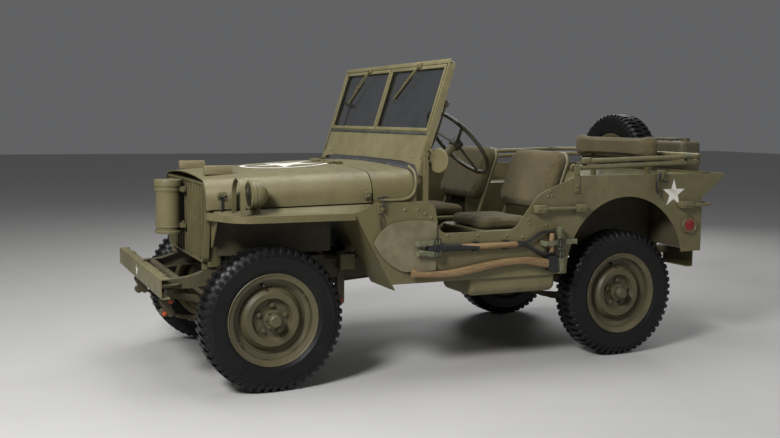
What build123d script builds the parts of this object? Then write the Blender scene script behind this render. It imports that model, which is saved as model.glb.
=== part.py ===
# Army 4x4 utility car, open body, stored with its windshield up and its top bows folded back.
# Millimetres, +X forward, +Y to the car's left, +Z up, origin on the floor below the middle.
import os
from math import cos, radians, sin

from build123d import *

os.makedirs("parts", exist_ok=True)

# Running gear
WHEELBASE = 2032
TRACK = 1226
TYRE_R = 352
TYRE_W = 159
RIM_R = 222
RIM_HALF = 64
KINGPIN_Y = 508
SPINDLE_R = 25
SPINDLE_GAP = 0.4
AXLE_TUBE_R = 38
DIFF_Y = -200
DIFF_R = 112
STEER_ARM = 165
TIE_ROD_R = 12

# Overall lengths and body
FRONT_OVERHANG = 519
REAR_OVERHANG = 844
BODY_HALF = 725
SHEET = 6
SEAT_GAP = 0.3
MOVE_GAP = 6
FLOOR_Z = 605
RAIL_TOP = 590
RAIL_BOTTOM = 490
RAIL_OUT = 372
RAIL_W = 45
RAIL_WALL = 4
BODY_TOP = 1022
LEDGE_Z = 905
FENDER_TOP = 857
FENDER_LIP = 33
APRON_Y = 430
SILL_Z = 495
WELL_TOP = 908
WELL_IN = 430

# Stations along the car, worked out from the axles
FRONT_X = (WHEELBASE + REAR_OVERHANG - FRONT_OVERHANG) / 2
REAR_X = FRONT_X - WHEELBASE
BUMPER_X = FRONT_X + FRONT_OVERHANG
GRILLE_X = FRONT_X + 274
HOOD_REAR_X = FRONT_X - 497
FIREWALL_X = HOOD_REAR_X - MOVE_GAP
COWL_REAR_X = FRONT_X - 731
SHIELD_X = FRONT_X - 776
PANEL_X = REAR_X - 518
TAIL_X = REAR_X - 674
SPARE_X = REAR_X - REAR_OVERHANG + TYRE_W / 2

# Windshield, bows and steering
SHIELD_Z = 1110
SHIELD_RAKE = 17.7
SHIELD_HALF = BODY_HALF - 23
SHIELD_TOP = 527
SHIELD_DEPTH = 30
POST_HALF = 12
BOW_R = 13
BOW_Y = BODY_HALF - 25
BOW_X = REAR_X + 356
BOW_Z = 1062
BOW_REACH = 920
BOW_GAP = 33
STEER_X = FRONT_X - 1142
STEER_Y = 367
STEER_Z = 1191
STEER_R = 218
STEER_TILT = 48.5


def box_between(x, y, z, mode=Mode.ADD):
    """Box that spans a (low, high) pair on each axis."""
    with Locations((sum(x) / 2, sum(y) / 2, sum(z) / 2)):
        Box(abs(x[1] - x[0]), abs(y[1] - y[0]), abs(z[1] - z[0]), mode=mode)


def side_plane(y):
    """Drawing plane seen from the right side: local x is +X, local y is +Z."""
    return Plane.XZ.offset(-y)


def bent_tube(points, bend, radius):
    """Round tube along straight runs joined by bends of one radius."""
    with BuildPart() as tube:
        with BuildLine() as path:
            FilletPolyline(*points, radius=bend)
        with BuildSketch(Plane(origin=path.line @ 0, z_dir=path.line % 0)):
            Circle(radius)
        sweep()
    return tube.part


def straight_rod(start, end, radius):
    """Round rod between two points."""
    way = Vector(end) - Vector(start)
    with BuildPart() as rod:
        with BuildSketch(Plane(origin=start, z_dir=way)):
            Circle(radius)
        extrude(amount=way.length)
    return rod.part


def save(piece, name):
    """Label a finished piece and write it."""
    piece.label = name
    export_step(piece, f"parts/{name}.step")


# Frame: two channel rails, open towards the middle, with rising horns at the front.
RAIL_END_X = PANEL_X + 20
HORN_X = BUMPER_X - SHEET
HORN_BEND = 332
HORN_Z = 534
RAIL_BEND = 173
RAIL_MID = RAIL_OUT - RAIL_W / 2
rail_outline = [
    (HORN_X, 523),
    (FRONT_X + HORN_BEND, HORN_Z),
    (FRONT_X + RAIL_BEND, RAIL_TOP),
    (RAIL_END_X, RAIL_TOP),
    (RAIL_END_X, RAIL_BOTTOM + 25),
    (REAR_X - 250, RAIL_BOTTOM + 40),
    (REAR_X + 230, RAIL_BOTTOM + 40),
    (REAR_X + 400, RAIL_BOTTOM),
    (FRONT_X + 220, RAIL_BOTTOM),
    (FRONT_X + HORN_BEND, 478),
    (HORN_X, 488),
]
rail_bends = [0, 200, 200, 0, 0, 200, 200, 200, 200, 200, 0]

# Springs: eyes at both ends of each, hung from the rails.
SPRING_W = 44
LEAF = 7
SPRING_TOP = 306
SPRING_SAG = 60
EYE_R = 18
PIN_R = 8
springs = [  # axle station, half length, leaves
    (FRONT_X, 460, 6),
    (REAR_X, 480, 7),
]
EYE_Z = SPRING_TOP + SPRING_SAG - LEAF / 2
SHACKLE_LEAN = 30
SHACKLE_Z = EYE_Z + 58

with BuildPart() as frame_rails:
    with BuildSketch(side_plane(RAIL_OUT)) as rail_face:
        with BuildLine():
            FilletPolyline(*rail_outline, radius=rail_bends, close=True)
        make_face()
    extrude(amount=RAIL_W)
    with BuildSketch(side_plane(RAIL_OUT - RAIL_WALL)):
        add(rail_face.sketch.face().moved(Location((0, -RAIL_WALL, 0))))
        offset(amount=-RAIL_WALL, mode=Mode.REPLACE)
    extrude(amount=RAIL_W, mode=Mode.SUBTRACT)
    mirror(about=Plane.XZ)
save(frame_rails.part, "frame_rails")

# Cross members: front tube, gearbox beam under the rails and rear channel.
RAIL_IN = RAIL_OUT - RAIL_W
BEAM_X = FRONT_X - 921
GEARBOX_BEAM = 45
with BuildPart() as cross_members:
    with Locations(Location((FRONT_X + 380, 0, 506), (90, 0, 0))):
        Cylinder(24, 2 * RAIL_IN)
    box_between((BEAM_X - 40, BEAM_X + 40), (-RAIL_OUT, RAIL_OUT), (RAIL_BOTTOM - GEARBOX_BEAM, RAIL_BOTTOM))
    box_between((RAIL_END_X, RAIL_END_X + 55), (-RAIL_IN, RAIL_IN), (RAIL_BOTTOM + 25, RAIL_TOP))
    box_between(
        (RAIL_END_X + SHEET, RAIL_END_X + 60),
        (-RAIL_IN + 20, RAIL_IN - 20),
        (RAIL_BOTTOM + 25 + SHEET, RAIL_TOP - SHEET),
        mode=Mode.SUBTRACT,
    )

# Front bumper: pressed channel on the horns, with a gusset plate outside each horn.
BUMPER_HALF = 596
BUMPER_LOW = 472
BUMPER_HIGH = 568
BUMPER_DEPTH = 45
with BuildPart() as front_bumper:
    box_between((BUMPER_X - BUMPER_DEPTH, BUMPER_X), (-BUMPER_HALF, BUMPER_HALF), (BUMPER_LOW, BUMPER_HIGH))
    fillet(front_bumper.edges().filter_by(Axis.Y).group_by(Axis.X)[-1], radius=10)
    box_between(
        (BUMPER_X - BUMPER_DEPTH - 1, BUMPER_X - SHEET),
        (-BUMPER_HALF - 1, BUMPER_HALF + 1),
        (BUMPER_LOW + SHEET, BUMPER_HIGH - SHEET),
        mode=Mode.SUBTRACT,
    )
    with BuildSketch(Plane.XY.offset(500)):
        with BuildLine():
            Polyline(
                (BUMPER_X - SHEET, RAIL_OUT),
                (BUMPER_X - SHEET, RAIL_OUT + 110),
                (BUMPER_X - 150, RAIL_OUT),
                close=True,
            )
        make_face()
        mirror(about=Plane.XZ)
    extrude(amount=SHEET)

# Rear bumperettes: short channels on arms from the rail ends.
BUMPERETTE_X = PANEL_X - 95
with BuildPart() as rear_bumperettes:
    box_between((BUMPERETTE_X, BUMPERETTE_X + 40), (300, 560), (455, 560))
    fillet(rear_bumperettes.edges().filter_by(Axis.Y).group_by(Axis.X)[0], radius=10)
    box_between(
        (BUMPERETTE_X + SHEET, BUMPERETTE_X + 41), (299, 561), (455 + SHEET, 560 - SHEET), mode=Mode.SUBTRACT
    )
    box_between((BUMPERETTE_X + SHEET, RAIL_END_X), (RAIL_IN, RAIL_OUT), (RAIL_BOTTOM + 27, 560))
    mirror(about=Plane.XZ)
with BuildPart() as bumpers:
    add(front_bumper.part)
    add(rear_bumperettes.part)
save(bumpers.part, "bumpers")

# Towing pintle on the rear cross member, with an upright eye.
PINTLE_R = 25
PINTLE_H = 38
PINTLE_X = RAIL_END_X - 92
PINTLE_Z = 545
with BuildPart() as pintle:
    box_between((RAIL_END_X - 10, RAIL_END_X), (-60, 60), (RAIL_BOTTOM + 28, RAIL_TOP - 14))
    box_between((PINTLE_X, RAIL_END_X - 5), (-22, 22), (PINTLE_Z - PINTLE_H / 2, PINTLE_Z + PINTLE_H / 2))
    with Locations((PINTLE_X, 0, PINTLE_Z)):
        Cylinder(PINTLE_R + 16, PINTLE_H)
        Cylinder(PINTLE_R, PINTLE_H, mode=Mode.SUBTRACT)
save(pintle.part, "pintle_hook")

# Leaf springs under the axles: each leaf is a band of one large circle.
with BuildPart() as leaf_springs:
    for axle_x, half, leaves in springs:
        arc_r = (half**2 + SPRING_SAG**2) / (2 * SPRING_SAG)
        arc_z = SPRING_TOP + arc_r
        for leaf in range(leaves):
            reach = half - leaf * 0.8 * half / leaves
            with BuildSketch(side_plane(RAIL_MID + SPRING_W / 2)):
                with Locations((axle_x, arc_z)):
                    Circle(arc_r + LEAF * (leaf + 1))
                    Circle(arc_r + LEAF * leaf, mode=Mode.SUBTRACT)
                with Locations((axle_x, SPRING_TOP)):
                    Rectangle(2 * reach, 4 * SPRING_SAG, mode=Mode.INTERSECT)
            extrude(amount=SPRING_W)
        for end in (-half, half):
            with Locations(Location((axle_x + end, RAIL_MID, EYE_Z), (90, 0, 0))):
                Cylinder(EYE_R, SPRING_W)
                Cylinder(PIN_R + SEAT_GAP, SPRING_W, mode=Mode.SUBTRACT)
    mirror(about=Plane.XZ)
save(leaf_springs.part, "leaf_springs")

# Spring hangers: a fixed bracket at one end of each spring, a swinging shackle at the other.
PLATE = 5
hangers = [  # eye station, top pin station, top of the plates
    (FRONT_X + 460, FRONT_X + 460 - SHACKLE_LEAN, SHACKLE_Z),
    (FRONT_X - 460, FRONT_X - 460, RAIL_BOTTOM + 20),
    (REAR_X + 480, REAR_X + 480, RAIL_BOTTOM + 20),
    (REAR_X - 480, REAR_X - 480 + SHACKLE_LEAN, SHACKLE_Z),
]
with BuildPart() as spring_hangers:
    for eye_x, top_x, top_z in hangers:
        middle = ((eye_x + top_x) / 2, (EYE_Z + top_z) / 2)
        run = Vector(top_x - eye_x, top_z - EYE_Z)
        for plate_y in (RAIL_OUT + PLATE, RAIL_IN):
            with BuildSketch(side_plane(plate_y)):
                with Locations(Location((*middle, 0), (0, 0, Vector(1, 0).get_signed_angle(run)))):
                    SlotCenterToCenter(run.length, 2 * EYE_R)
            extrude(amount=PLATE)
        with Locations(Location((eye_x, RAIL_MID, EYE_Z), (90, 0, 0))):
            Cylinder(PIN_R, RAIL_W + 2 * PLATE)
        if top_x != eye_x:
            with Locations(Location((top_x, RAIL_MID, top_z), (90, 0, 0))):
                Cylinder(PIN_R, RAIL_W + 2 * PLATE)
    mirror(about=Plane.XZ)
save(spring_hangers.part, "spring_hangers")

# Shackle blocks below the rails, which the swinging shackles hang from.
blocks = [  # top pin station, underside of the rail there
    (FRONT_X + 460 - SHACKLE_LEAN, 478),
    (REAR_X - 480 + SHACKLE_LEAN, RAIL_BOTTOM + 25),
]
with BuildPart() as shackle_blocks:
    for block_x, rail_z in blocks:
        with BuildSketch(side_plane(RAIL_OUT - 1)):
            with Locations((block_x, SHACKLE_Z)):
                Circle(EYE_R)
            with Locations((block_x, (SHACKLE_Z + rail_z) / 2)):
                Rectangle(2 * EYE_R, rail_z - SHACKLE_Z)
            with Locations((block_x, SHACKLE_Z)):
                Circle(PIN_R + SEAT_GAP, mode=Mode.SUBTRACT)
        extrude(amount=RAIL_W - 2)
    mirror(about=Plane.XZ)
with BuildPart() as frame_cross_members:
    add(cross_members.part)
    add(shackle_blocks.part)
save(frame_cross_members.part, "frame_cross_members")

# Axles: tube, offset differential with its round cover and pinion nose, spring saddles.
BALL_R = 66
BALL_CUT = 20
BACKING_R = 126
BACKING_Y = TRACK / 2 - 53
SPINDLE_TIP = TRACK / 2 + 66
PINION = 150
SADDLE_GAP = 0.7
housing_profile = [  # place along the pinion, radius
    (-96, 0),
    (-96, DIFF_R - 56),
    (-72, DIFF_R - 16),
    (-56, DIFF_R),
    (-36, DIFF_R),
    (56, 84),
    (100, 60),
    (PINION, 48),
    (PINION, 0),
]


def axle_centre(axle_x, tube_half, nose):
    """Axle tube with saddles and differential; nose is the side that its pinion points to."""
    with BuildPart() as axle:
        with Locations(Location((axle_x, 0, TYRE_R), (90, 0, 0))):
            Cylinder(AXLE_TUBE_R, 2 * tube_half)
        for side in (-1, 1):
            box_between(
                (axle_x - 45, axle_x + 45),
                (side * RAIL_MID - SPRING_W / 2, side * RAIL_MID + SPRING_W / 2),
                (SPRING_TOP + SADDLE_GAP, TYRE_R),
            )
        with BuildSketch(Plane(origin=(axle_x, DIFF_Y, TYRE_R), x_dir=(nose, 0, 0), z_dir=(0, -nose, 0))):
            with BuildLine():
                Polyline(*housing_profile, close=True)
            make_face()
        revolve(axis=Axis((axle_x, DIFF_Y, TYRE_R), (1, 0, 0)))
    return axle.part


front_centre = axle_centre(FRONT_X, KINGPIN_Y - BALL_R / 2, -1)
with BuildPart() as front_axle:
    add(front_centre)
    for side in (-1, 1):
        with Locations(Location((FRONT_X, side * KINGPIN_Y, TYRE_R), (90, 0, 0))):
            Sphere(BALL_R)
        box_between(
            (FRONT_X - BALL_R, FRONT_X + BALL_R),
            (side * (KINGPIN_Y + BALL_CUT), side * (KINGPIN_Y + 2 * BALL_R)),
            (TYRE_R - BALL_R, TYRE_R + BALL_R),
            mode=Mode.SUBTRACT,
        )
save(front_axle.part, "front_axle")

rear_centre = axle_centre(REAR_X, BACKING_Y, 1)
with BuildPart() as rear_axle:
    add(rear_centre)
    for side in (-1, 1):
        with BuildSketch(side_plane(side * BACKING_Y)):
            with Locations((REAR_X, TYRE_R)):
                Circle(BACKING_R)
        extrude(amount=-side * SHEET)
        with BuildSketch(side_plane(side * BACKING_Y)):
            with Locations((REAR_X, TYRE_R)):
                Circle(SPINDLE_R)
        extrude(amount=-side * (SPINDLE_TIP - BACKING_Y))
save(rear_axle.part, "rear_axle")

# Knuckles: a bell round the axle's ball, with spindle, backing plate and a forward steering arm.
BELL_R = 84
BELL_IN = 70
ARM_Y = KINGPIN_Y - 38
ARM_Z = TYRE_R - 6
ARM_H = 14
ARM_BOSS_R = 17


def knuckle(side):
    """Steering knuckle on one side, at its straight-ahead place."""
    centre = (FRONT_X, side * KINGPIN_Y, TYRE_R)
    with BuildPart() as body:
        with Locations(centre):
            Sphere(BELL_R)
        with BuildSketch(side_plane(side * BACKING_Y)):
            with Locations((FRONT_X, TYRE_R)):
                Circle(BELL_R - 10)
        extrude(amount=side * 30)
        with Locations((FRONT_X, side * (KINGPIN_Y - BELL_R - 12), TYRE_R)):
            Box(3 * BELL_R, 2 * BELL_R, 3 * BELL_R, mode=Mode.SUBTRACT)
        with Locations((FRONT_X, side * (BACKING_Y + BELL_R), TYRE_R)):
            Box(3 * BELL_R, 2 * BELL_R, 3 * BELL_R, mode=Mode.SUBTRACT)
        with Locations(centre):
            Sphere(BELL_IN, mode=Mode.SUBTRACT)
        for pad_z in (-1, 1):
            with Locations((FRONT_X, side * KINGPIN_Y, TYRE_R + pad_z * (BALL_R + BELL_R + 9) / 2)):
                Cylinder(16, BELL_R + 8 - BALL_R - 2 * SEAT_GAP)
        with BuildSketch(side_plane(side * BACKING_Y)):
            with Locations((FRONT_X, TYRE_R)):
                Circle(BACKING_R)
        extrude(amount=-side * SHEET)
        with BuildSketch(side_plane(side * BACKING_Y)):
            with Locations((FRONT_X, TYRE_R)):
                Circle(SPINDLE_R)
        extrude(amount=-side * (SPINDLE_TIP - BACKING_Y))
        with BuildSketch(Plane.XY.offset(ARM_Z - ARM_H / 2)):
            with BuildLine():
                Polyline(
                    (FRONT_X + BELL_R - 12, side * (KINGPIN_Y + 18)),
                    (FRONT_X + STEER_ARM, side * (ARM_Y + ARM_BOSS_R)),
                    (FRONT_X + STEER_ARM, side * (ARM_Y - ARM_BOSS_R)),
                    (FRONT_X + BELL_R - 12, side * (KINGPIN_Y - 8)),
                    close=True,
                )
            make_face()
            with Locations((FRONT_X + STEER_ARM, side * ARM_Y)):
                Circle(ARM_BOSS_R)
        extrude(amount=ARM_H)
    return body.part


for knuckle_side, knuckle_name in ((1, "knuckle_left"), (-1, "knuckle_right")):
    save(knuckle(knuckle_side), knuckle_name)

# Tie rod across the two arms, with an upright eye above each arm.
ROD_Z = ARM_Z + ARM_H / 2 + SEAT_GAP + 14
with BuildPart() as tie_rod:
    with Locations(Location((FRONT_X + STEER_ARM, 0, ROD_Z), (90, 0, 0))):
        Cylinder(TIE_ROD_R, 2 * ARM_Y)
    for side in (-1, 1):
        with Locations((FRONT_X + STEER_ARM, side * ARM_Y, ROD_Z)):
            Cylinder(ARM_BOSS_R - 1, 28)
save(tie_rod.part, "tie_rod")

# Road wheels: rolled rim, dished disc and the hub with its brake drum, each a turned profile.
RIM_STEP = 19
RIM_SLOPE = 8
rim_profile = [  # radius, place across the wheel
    (RIM_R, RIM_HALF),
    (RIM_R - RIM_STEP, RIM_HALF - RIM_SLOPE),
    (RIM_R - 22, 22),
    (RIM_R - 44, 12),
    (RIM_R - 44, -20),
    (RIM_R - 22, -32),
    (RIM_R - RIM_STEP, RIM_SLOPE - RIM_HALF),
    (RIM_R, -RIM_HALF),
]
disc_profile = [
    (RIM_R - 46, 8),
    (RIM_R - 62, 10),
    (130, 45),
    (103, 42),
    (88, 15),
    (40, 15),
]
DISC_WALL = 6
DRUM_R = 128
DRUM_IN = 116
HUB_R = 46


def turned(profile_lines, spot, side, across):
    """Solid turned about the wheel's axle from a closed line of (radius, place) points."""
    wheel_plane = Plane(origin=spot, x_dir=(0, 0, 1), z_dir=across.cross(Vector(0, 0, 1)) * -side)
    with BuildPart() as ring:
        for closed_line in profile_lines:
            with BuildSketch(wheel_plane):
                with BuildLine():
                    Polyline(*closed_line, close=True)
                make_face()
            revolve(axis=Axis(spot, across))
    return ring.part


def banded(profile, wall):
    """Closed line round a thin band below a profile."""
    return profile + [(radius - wall, place) for radius, place in reversed(profile)]


def road_wheel(spot, side, across, nose):
    """Wheel with hub; nose is how far the hub stands out from the wheel's middle."""
    hub = [
        (SPINDLE_R + SPINDLE_GAP, -46),
        (HUB_R, -46),
        (HUB_R, 0),
        (DRUM_IN, 0),
        (DRUM_IN, -44),
        (DRUM_R, -44),
        (DRUM_R, 8),
        (HUB_R, 15),
        (HUB_R, 44),
        (30, 50),
        (30, nose - 6),
        (24, nose),
        (0, nose),
        (0, 68),
        (SPINDLE_R + SPINDLE_GAP, 68),
    ]
    disc = disc_profile + [(radius, place - DISC_WALL) for radius, place in reversed(disc_profile)]
    return turned([banded(rim_profile, 5), disc, hub], spot, side, across)


def spare_rim(spot, side, across):
    """The same rim and disc without a hub."""
    disc = disc_profile + [(radius, place - DISC_WALL) for radius, place in reversed(disc_profile)]
    return turned([banded(rim_profile, 5), disc], spot, side, across)


# Tyres: closed ring with beads in the rim, and bar lugs that run over both shoulders.
BEAD = 0.4
FLANGE_GAP = 1
LUG_COUNT = 18
LUG_ARC = 9.5
LUG_DEPTH = 11
LUG_END = TYRE_R - 38
CROWN_R = TYRE_R - LUG_DEPTH
SIDE_R = TYRE_R - 52
TYRE_HALF = TYRE_W / 2
lug_face = [  # radius, place across the tread
    (LUG_END, TYRE_HALF - 8),
    (TYRE_R, TYRE_HALF - 12),
    (TYRE_R, 12 - TYRE_HALF),
    (LUG_END, 8 - TYRE_HALF),
]
bead_r = RIM_R - RIM_STEP + BEAD
bead_half = RIM_HALF - RIM_SLOPE - FLANGE_GAP
flange_r = RIM_R + BEAD
flange_half = RIM_HALF - FLANGE_GAP
belly_r = (RIM_R + SIDE_R) / 2
axle_line = Axis((0, 0, 0), (0, 1, 0))
tyre_plane = Plane(origin=(0, 0, 0), x_dir=(0, 0, 1), z_dir=(-1, 0, 0))
with BuildPart() as lug:
    with BuildSketch(tyre_plane):
        Polygon(*lug_face, align=None)
    revolve(axis=axle_line, revolution_arc=LUG_ARC)
with BuildPart() as tyre:
    with BuildSketch(tyre_plane):
        with BuildLine():
            Line((bead_r, -bead_half), (bead_r, bead_half))
            Line((bead_r, bead_half), (flange_r, flange_half))
            ThreePointArc((flange_r, flange_half), (belly_r, TYRE_HALF - 4), (SIDE_R, TYRE_HALF))
            Line((SIDE_R, TYRE_HALF), (CROWN_R, TYRE_HALF - 18))
            Line((CROWN_R, TYRE_HALF - 18), (CROWN_R, 18 - TYRE_HALF))
            Line((CROWN_R, 18 - TYRE_HALF), (SIDE_R, -TYRE_HALF))
            ThreePointArc((SIDE_R, -TYRE_HALF), (belly_r, 4 - TYRE_HALF), (flange_r, -flange_half))
            Line((flange_r, -flange_half), (bead_r, -bead_half))
        make_face()
    revolve(axis=axle_line)
    add([lug.part.rotate(axle_line, step * 360 / LUG_COUNT) for step in range(LUG_COUNT)])

corners = [  # name, station, side, hub nose
    ("fl", FRONT_X, 1, 102),
    ("fr", FRONT_X, -1, 102),
    ("rl", REAR_X, 1, 86),
    ("rr", REAR_X, -1, 86),
]
for corner, wheel_x, side, nose in corners:
    hub_centre = (wheel_x, side * TRACK / 2, TYRE_R)
    save(tyre.part.moved(Location(hub_centre)), f"tyre_{corner}")
    save(road_wheel(hub_centre, side, Vector(0, 1, 0), nose), f"wheel_{corner}")

# Spare wheel behind the tail, on an arm from the rear panel.
SPARE_Y = -385
SPARE_Z = 1010
CARRIER_W = 70
spare_centre = (SPARE_X, SPARE_Y, SPARE_Z)
save(tyre.part.moved(Location(spare_centre, (0, 0, 90))), "spare_tyre")
save(spare_rim(spare_centre, -1, Vector(1, 0, 0)), "spare_wheel")

CARRIER_BACK = TAIL_X - 7
MOUNT_X = SPARE_X - 15 + DISC_WALL
with BuildPart() as spare_carrier:
    with BuildSketch(side_plane(SPARE_Y + CARRIER_W / 2)):
        with BuildLine():
            Polyline(
                (PANEL_X, 640),
                (PANEL_X, 860),
                (CARRIER_BACK, 972),
                (CARRIER_BACK, SPARE_Z + 50),
                (CARRIER_BACK - 30, SPARE_Z + 50),
                (CARRIER_BACK - 30, SPARE_Z - 90),
                (PANEL_X - 60, 640),
                close=True,
            )
        make_face()
    extrude(amount=CARRIER_W)
    with BuildSketch(Plane.YZ.offset(MOUNT_X)):
        with Locations((SPARE_Y, SPARE_Z)):
            Circle(70)
    extrude(amount=12)
    with BuildSketch(Plane.YZ.offset(MOUNT_X)):
        with Locations((SPARE_Y, SPARE_Z)):
            Circle(45)
    extrude(amount=CARRIER_BACK - 15 - MOUNT_X)
    with BuildSketch(Plane.YZ.offset(MOUNT_X)):
        with Locations((SPARE_Y, SPARE_Z)):
            Circle(38)
    extrude(amount=-16)

# Fuel can in its tray on the left of the tail.
CAN_Y = (8, 348)
CAN_Z = (735, 1195)
CAN_X = (SPARE_X - TYRE_W / 2 + 2, TAIL_X - 12)
with BuildPart() as fuel_can:
    box_between(CAN_X, CAN_Y, CAN_Z)
    fillet(fuel_can.edges().filter_by(Axis.Z), radius=38)
    fillet(fuel_can.edges().group_by(Axis.Z)[-1], radius=22)
    fillet(fuel_can.edges().group_by(Axis.Z)[0], radius=10)
    for handle_x in (-45, 0, 45):
        with Locations(Location((sum(CAN_X) / 2 + handle_x, 140, CAN_Z[1] + 12), (90, 0, 0))):
            Cylinder(7, 150)
        for foot_y in (75, 205):
            with Locations((sum(CAN_X) / 2 + handle_x, foot_y, CAN_Z[1])):
                Cylinder(7, 24)
    with Locations((sum(CAN_X) / 2, 282, CAN_Z[1] + 8)):
        Cylinder(26, 26)
save(fuel_can.part, "fuel_can")

TRAY_Z = CAN_Z[0] - 8
with BuildPart() as can_tray:
    box_between((CAN_X[0], CAN_X[1] + 6), (CAN_Y[0] - 2, CAN_Y[1] + 2), (TRAY_Z, CAN_Z[0]))
    for rim_y in (CAN_Y[0] - 6, CAN_Y[1] + SEAT_GAP):
        box_between((CAN_X[0], CAN_X[1] + 6), (rim_y, rim_y + 5), (TRAY_Z, CAN_Z[0] + 35))
    for gusset_y in (70, 260):
        with BuildSketch(side_plane(gusset_y + 15)):
            with BuildLine():
                Polyline(
                    (PANEL_X, 600),
                    (PANEL_X, TRAY_Z + 90),
                    (CAN_X[1] + 6, TRAY_Z + 90),
                    (CAN_X[1] + 6, TRAY_Z),
                    (CAN_X[0] + 20, TRAY_Z),
                    close=True,
                )
            make_face()
        extrude(amount=30)
with BuildPart() as rear_carriers:
    add(spare_carrier.part)
    add(can_tray.part)
save(rear_carriers.part, "rear_carriers")

# Engine as one plain block on feet, and the gearbox with its transfer case.
ENGINE_X = (FRONT_X - 440, FRONT_X + 90)
with BuildPart() as engine:
    box_between(ENGINE_X, (-150, 150), (RAIL_BOTTOM, 940))
    for foot_x in (FRONT_X - 330, FRONT_X + 40):
        box_between((foot_x - 35, foot_x + 35), (-RAIL_OUT, RAIL_OUT), (RAIL_TOP, RAIL_TOP + 20))
save(engine.part, "engine_block")

BOX_REAR_X = FRONT_X - 1206
OUTPUT_Z = 405
with BuildPart() as gearbox:
    with BuildSketch(Plane.YZ.offset(ENGINE_X[0])):
        with Locations((0, (RAIL_BOTTOM + FLOOR_Z - 10) / 2)):
            RectangleRounded(290, FLOOR_Z - 10 - RAIL_BOTTOM, 30)
    extrude(amount=-230, taper=8)
    box_between((BOX_REAR_X, ENGINE_X[0] - 100), (-105, 105), (RAIL_BOTTOM, FLOOR_Z - 18))
    box_between((BOX_REAR_X, BEAM_X - 60), (DIFF_Y - 80, 60), (OUTPUT_Z - 40, FLOOR_Z - 25))
    fillet(gearbox.edges().filter_by(Axis.X).group_by(Axis.Z)[0], radius=20)
save(gearbox.part, "gearbox")

# Propeller shafts from the transfer case to the two pinions, with round joints at their ends.
JOINT_R = 36
shafts = [  # gearbox face, pinion face, way along the car
    (BEAM_X - 60, FRONT_X - PINION, 1),
    (BOX_REAR_X, REAR_X + PINION, -1),
]
shaft_tubes = []
shaft_ends = []
for from_x, to_x, way in shafts:
    start = (from_x + way * (JOINT_R + SEAT_GAP), DIFF_Y, OUTPUT_Z)
    end = (to_x - way * (JOINT_R + SEAT_GAP), DIFF_Y, TYRE_R)
    shaft_way = (Vector(end) - Vector(start)).normalized() * (JOINT_R / 2)
    shaft_tubes.append(straight_rod(Vector(start) + shaft_way, Vector(end) - shaft_way, 24))
    shaft_ends += [start, end]
with BuildPart() as propshafts:
    for tube in shaft_tubes:
        add(tube)
    with Locations(*[Location(spot, (0, 90, 0)) for spot in shaft_ends]):
        Sphere(JOINT_R)
save(propshafts.part, "propshafts")

# Exhaust on the right: pipe from the engine, silencer and tail pipe, on a hanger from the rail.
SILENCER_Y = -455
exhaust_pipe = bent_tube(
    [
        (FRONT_X - 415, -172, 640),
        (FRONT_X - 415, -260, 640),
        (FRONT_X - 460, -260, 430),
        (FRONT_X - 640, SILENCER_Y, 430),
        (FRONT_X - 760, SILENCER_Y, 430),
    ],
    30,
    20,
)
tail_pipe = bent_tube(
    [(FRONT_X - 1200, SILENCER_Y, 430), (FRONT_X - 1310, SILENCER_Y, 430), (FRONT_X - 1380, -690, 420)], 60, 18
)
with BuildPart() as exhaust:
    box_between((ENGINE_X[0], FRONT_X - 70), (-180, -150 - SEAT_GAP), (RAIL_TOP + 21, 670))
    add(exhaust_pipe)
    add(tail_pipe)
    with Locations(Location((FRONT_X - 980, SILENCER_Y, 430), (0, 90, 0))):
        Cylinder(66, 450)
    box_between((FRONT_X - 1000, FRONT_X - 960), (-400, -RAIL_OUT), (440, RAIL_TOP - 20))
save(exhaust.part, "exhaust")

# Radiator on the rails behind the grille.
RADIATOR_X = FRONT_X + 130
with BuildPart() as radiator:
    box_between((RADIATOR_X, RADIATOR_X + 58), (-272, 272), (RAIL_TOP - 30, 985))
    fillet(radiator.edges().filter_by(Axis.X), radius=30)
    box_between((RADIATOR_X + 50, RADIATOR_X + 60), (-235, 235), (660, 900), mode=Mode.SUBTRACT)
    box_between((RADIATOR_X, RADIATOR_X + 40), (-RAIL_OUT, RAIL_OUT), (RAIL_TOP, RAIL_TOP + 10))
save(radiator.part, "radiator")

# Grille: a bent flat-bar frame with upright slats set edge on.
GRILLE_LOW = 604
GRILLE_HIGH = 997
GRILLE_LOW_HALF = 402
GRILLE_HIGH_HALF = 468
GRILLE_DEPTH = 28
SLAT = 6
SLATS = 13
SLAT_PITCH = 62
HORN_SLOPE = (RAIL_TOP - HORN_Z) / (HORN_BEND - RAIL_BEND)
GRILLE_FOOT = RAIL_TOP - (GRILLE_X - GRILLE_DEPTH - FRONT_X - RAIL_BEND) * HORN_SLOPE + SEAT_GAP
with BuildPart() as grille:
    with BuildSketch(Plane.YZ.offset(GRILLE_X - GRILLE_DEPTH)) as grille_face:
        with BuildLine():
            FilletPolyline(
                (-GRILLE_LOW_HALF, GRILLE_LOW),
                (GRILLE_LOW_HALF, GRILLE_LOW),
                (GRILLE_HIGH_HALF, GRILLE_HIGH),
                (-GRILLE_HIGH_HALF, GRILLE_HIGH),
                radius=[40, 40, 70, 70],
                close=True,
            )
        make_face()
        offset(amount=-SLAT - 2, mode=Mode.SUBTRACT)
    extrude(amount=GRILLE_DEPTH)
    with BuildSketch(Plane.YZ.offset(GRILLE_X - GRILLE_DEPTH)):
        with Locations((0, (GRILLE_LOW + GRILLE_HIGH) / 2)):
            with GridLocations(SLAT_PITCH, 0, SLATS, 1):
                Rectangle(SLAT, GRILLE_HIGH - GRILLE_LOW - 2 * SLAT)
    extrude(amount=GRILLE_DEPTH)
    for side in (-1, 1):
        box_between(
            (GRILLE_X - GRILLE_DEPTH, GRILLE_X - 8),
            (side * (RAIL_OUT - 40), side * RAIL_OUT),
            (GRILLE_FOOT, GRILLE_LOW + 4),
        )
save(grille.part, "grille")

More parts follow.
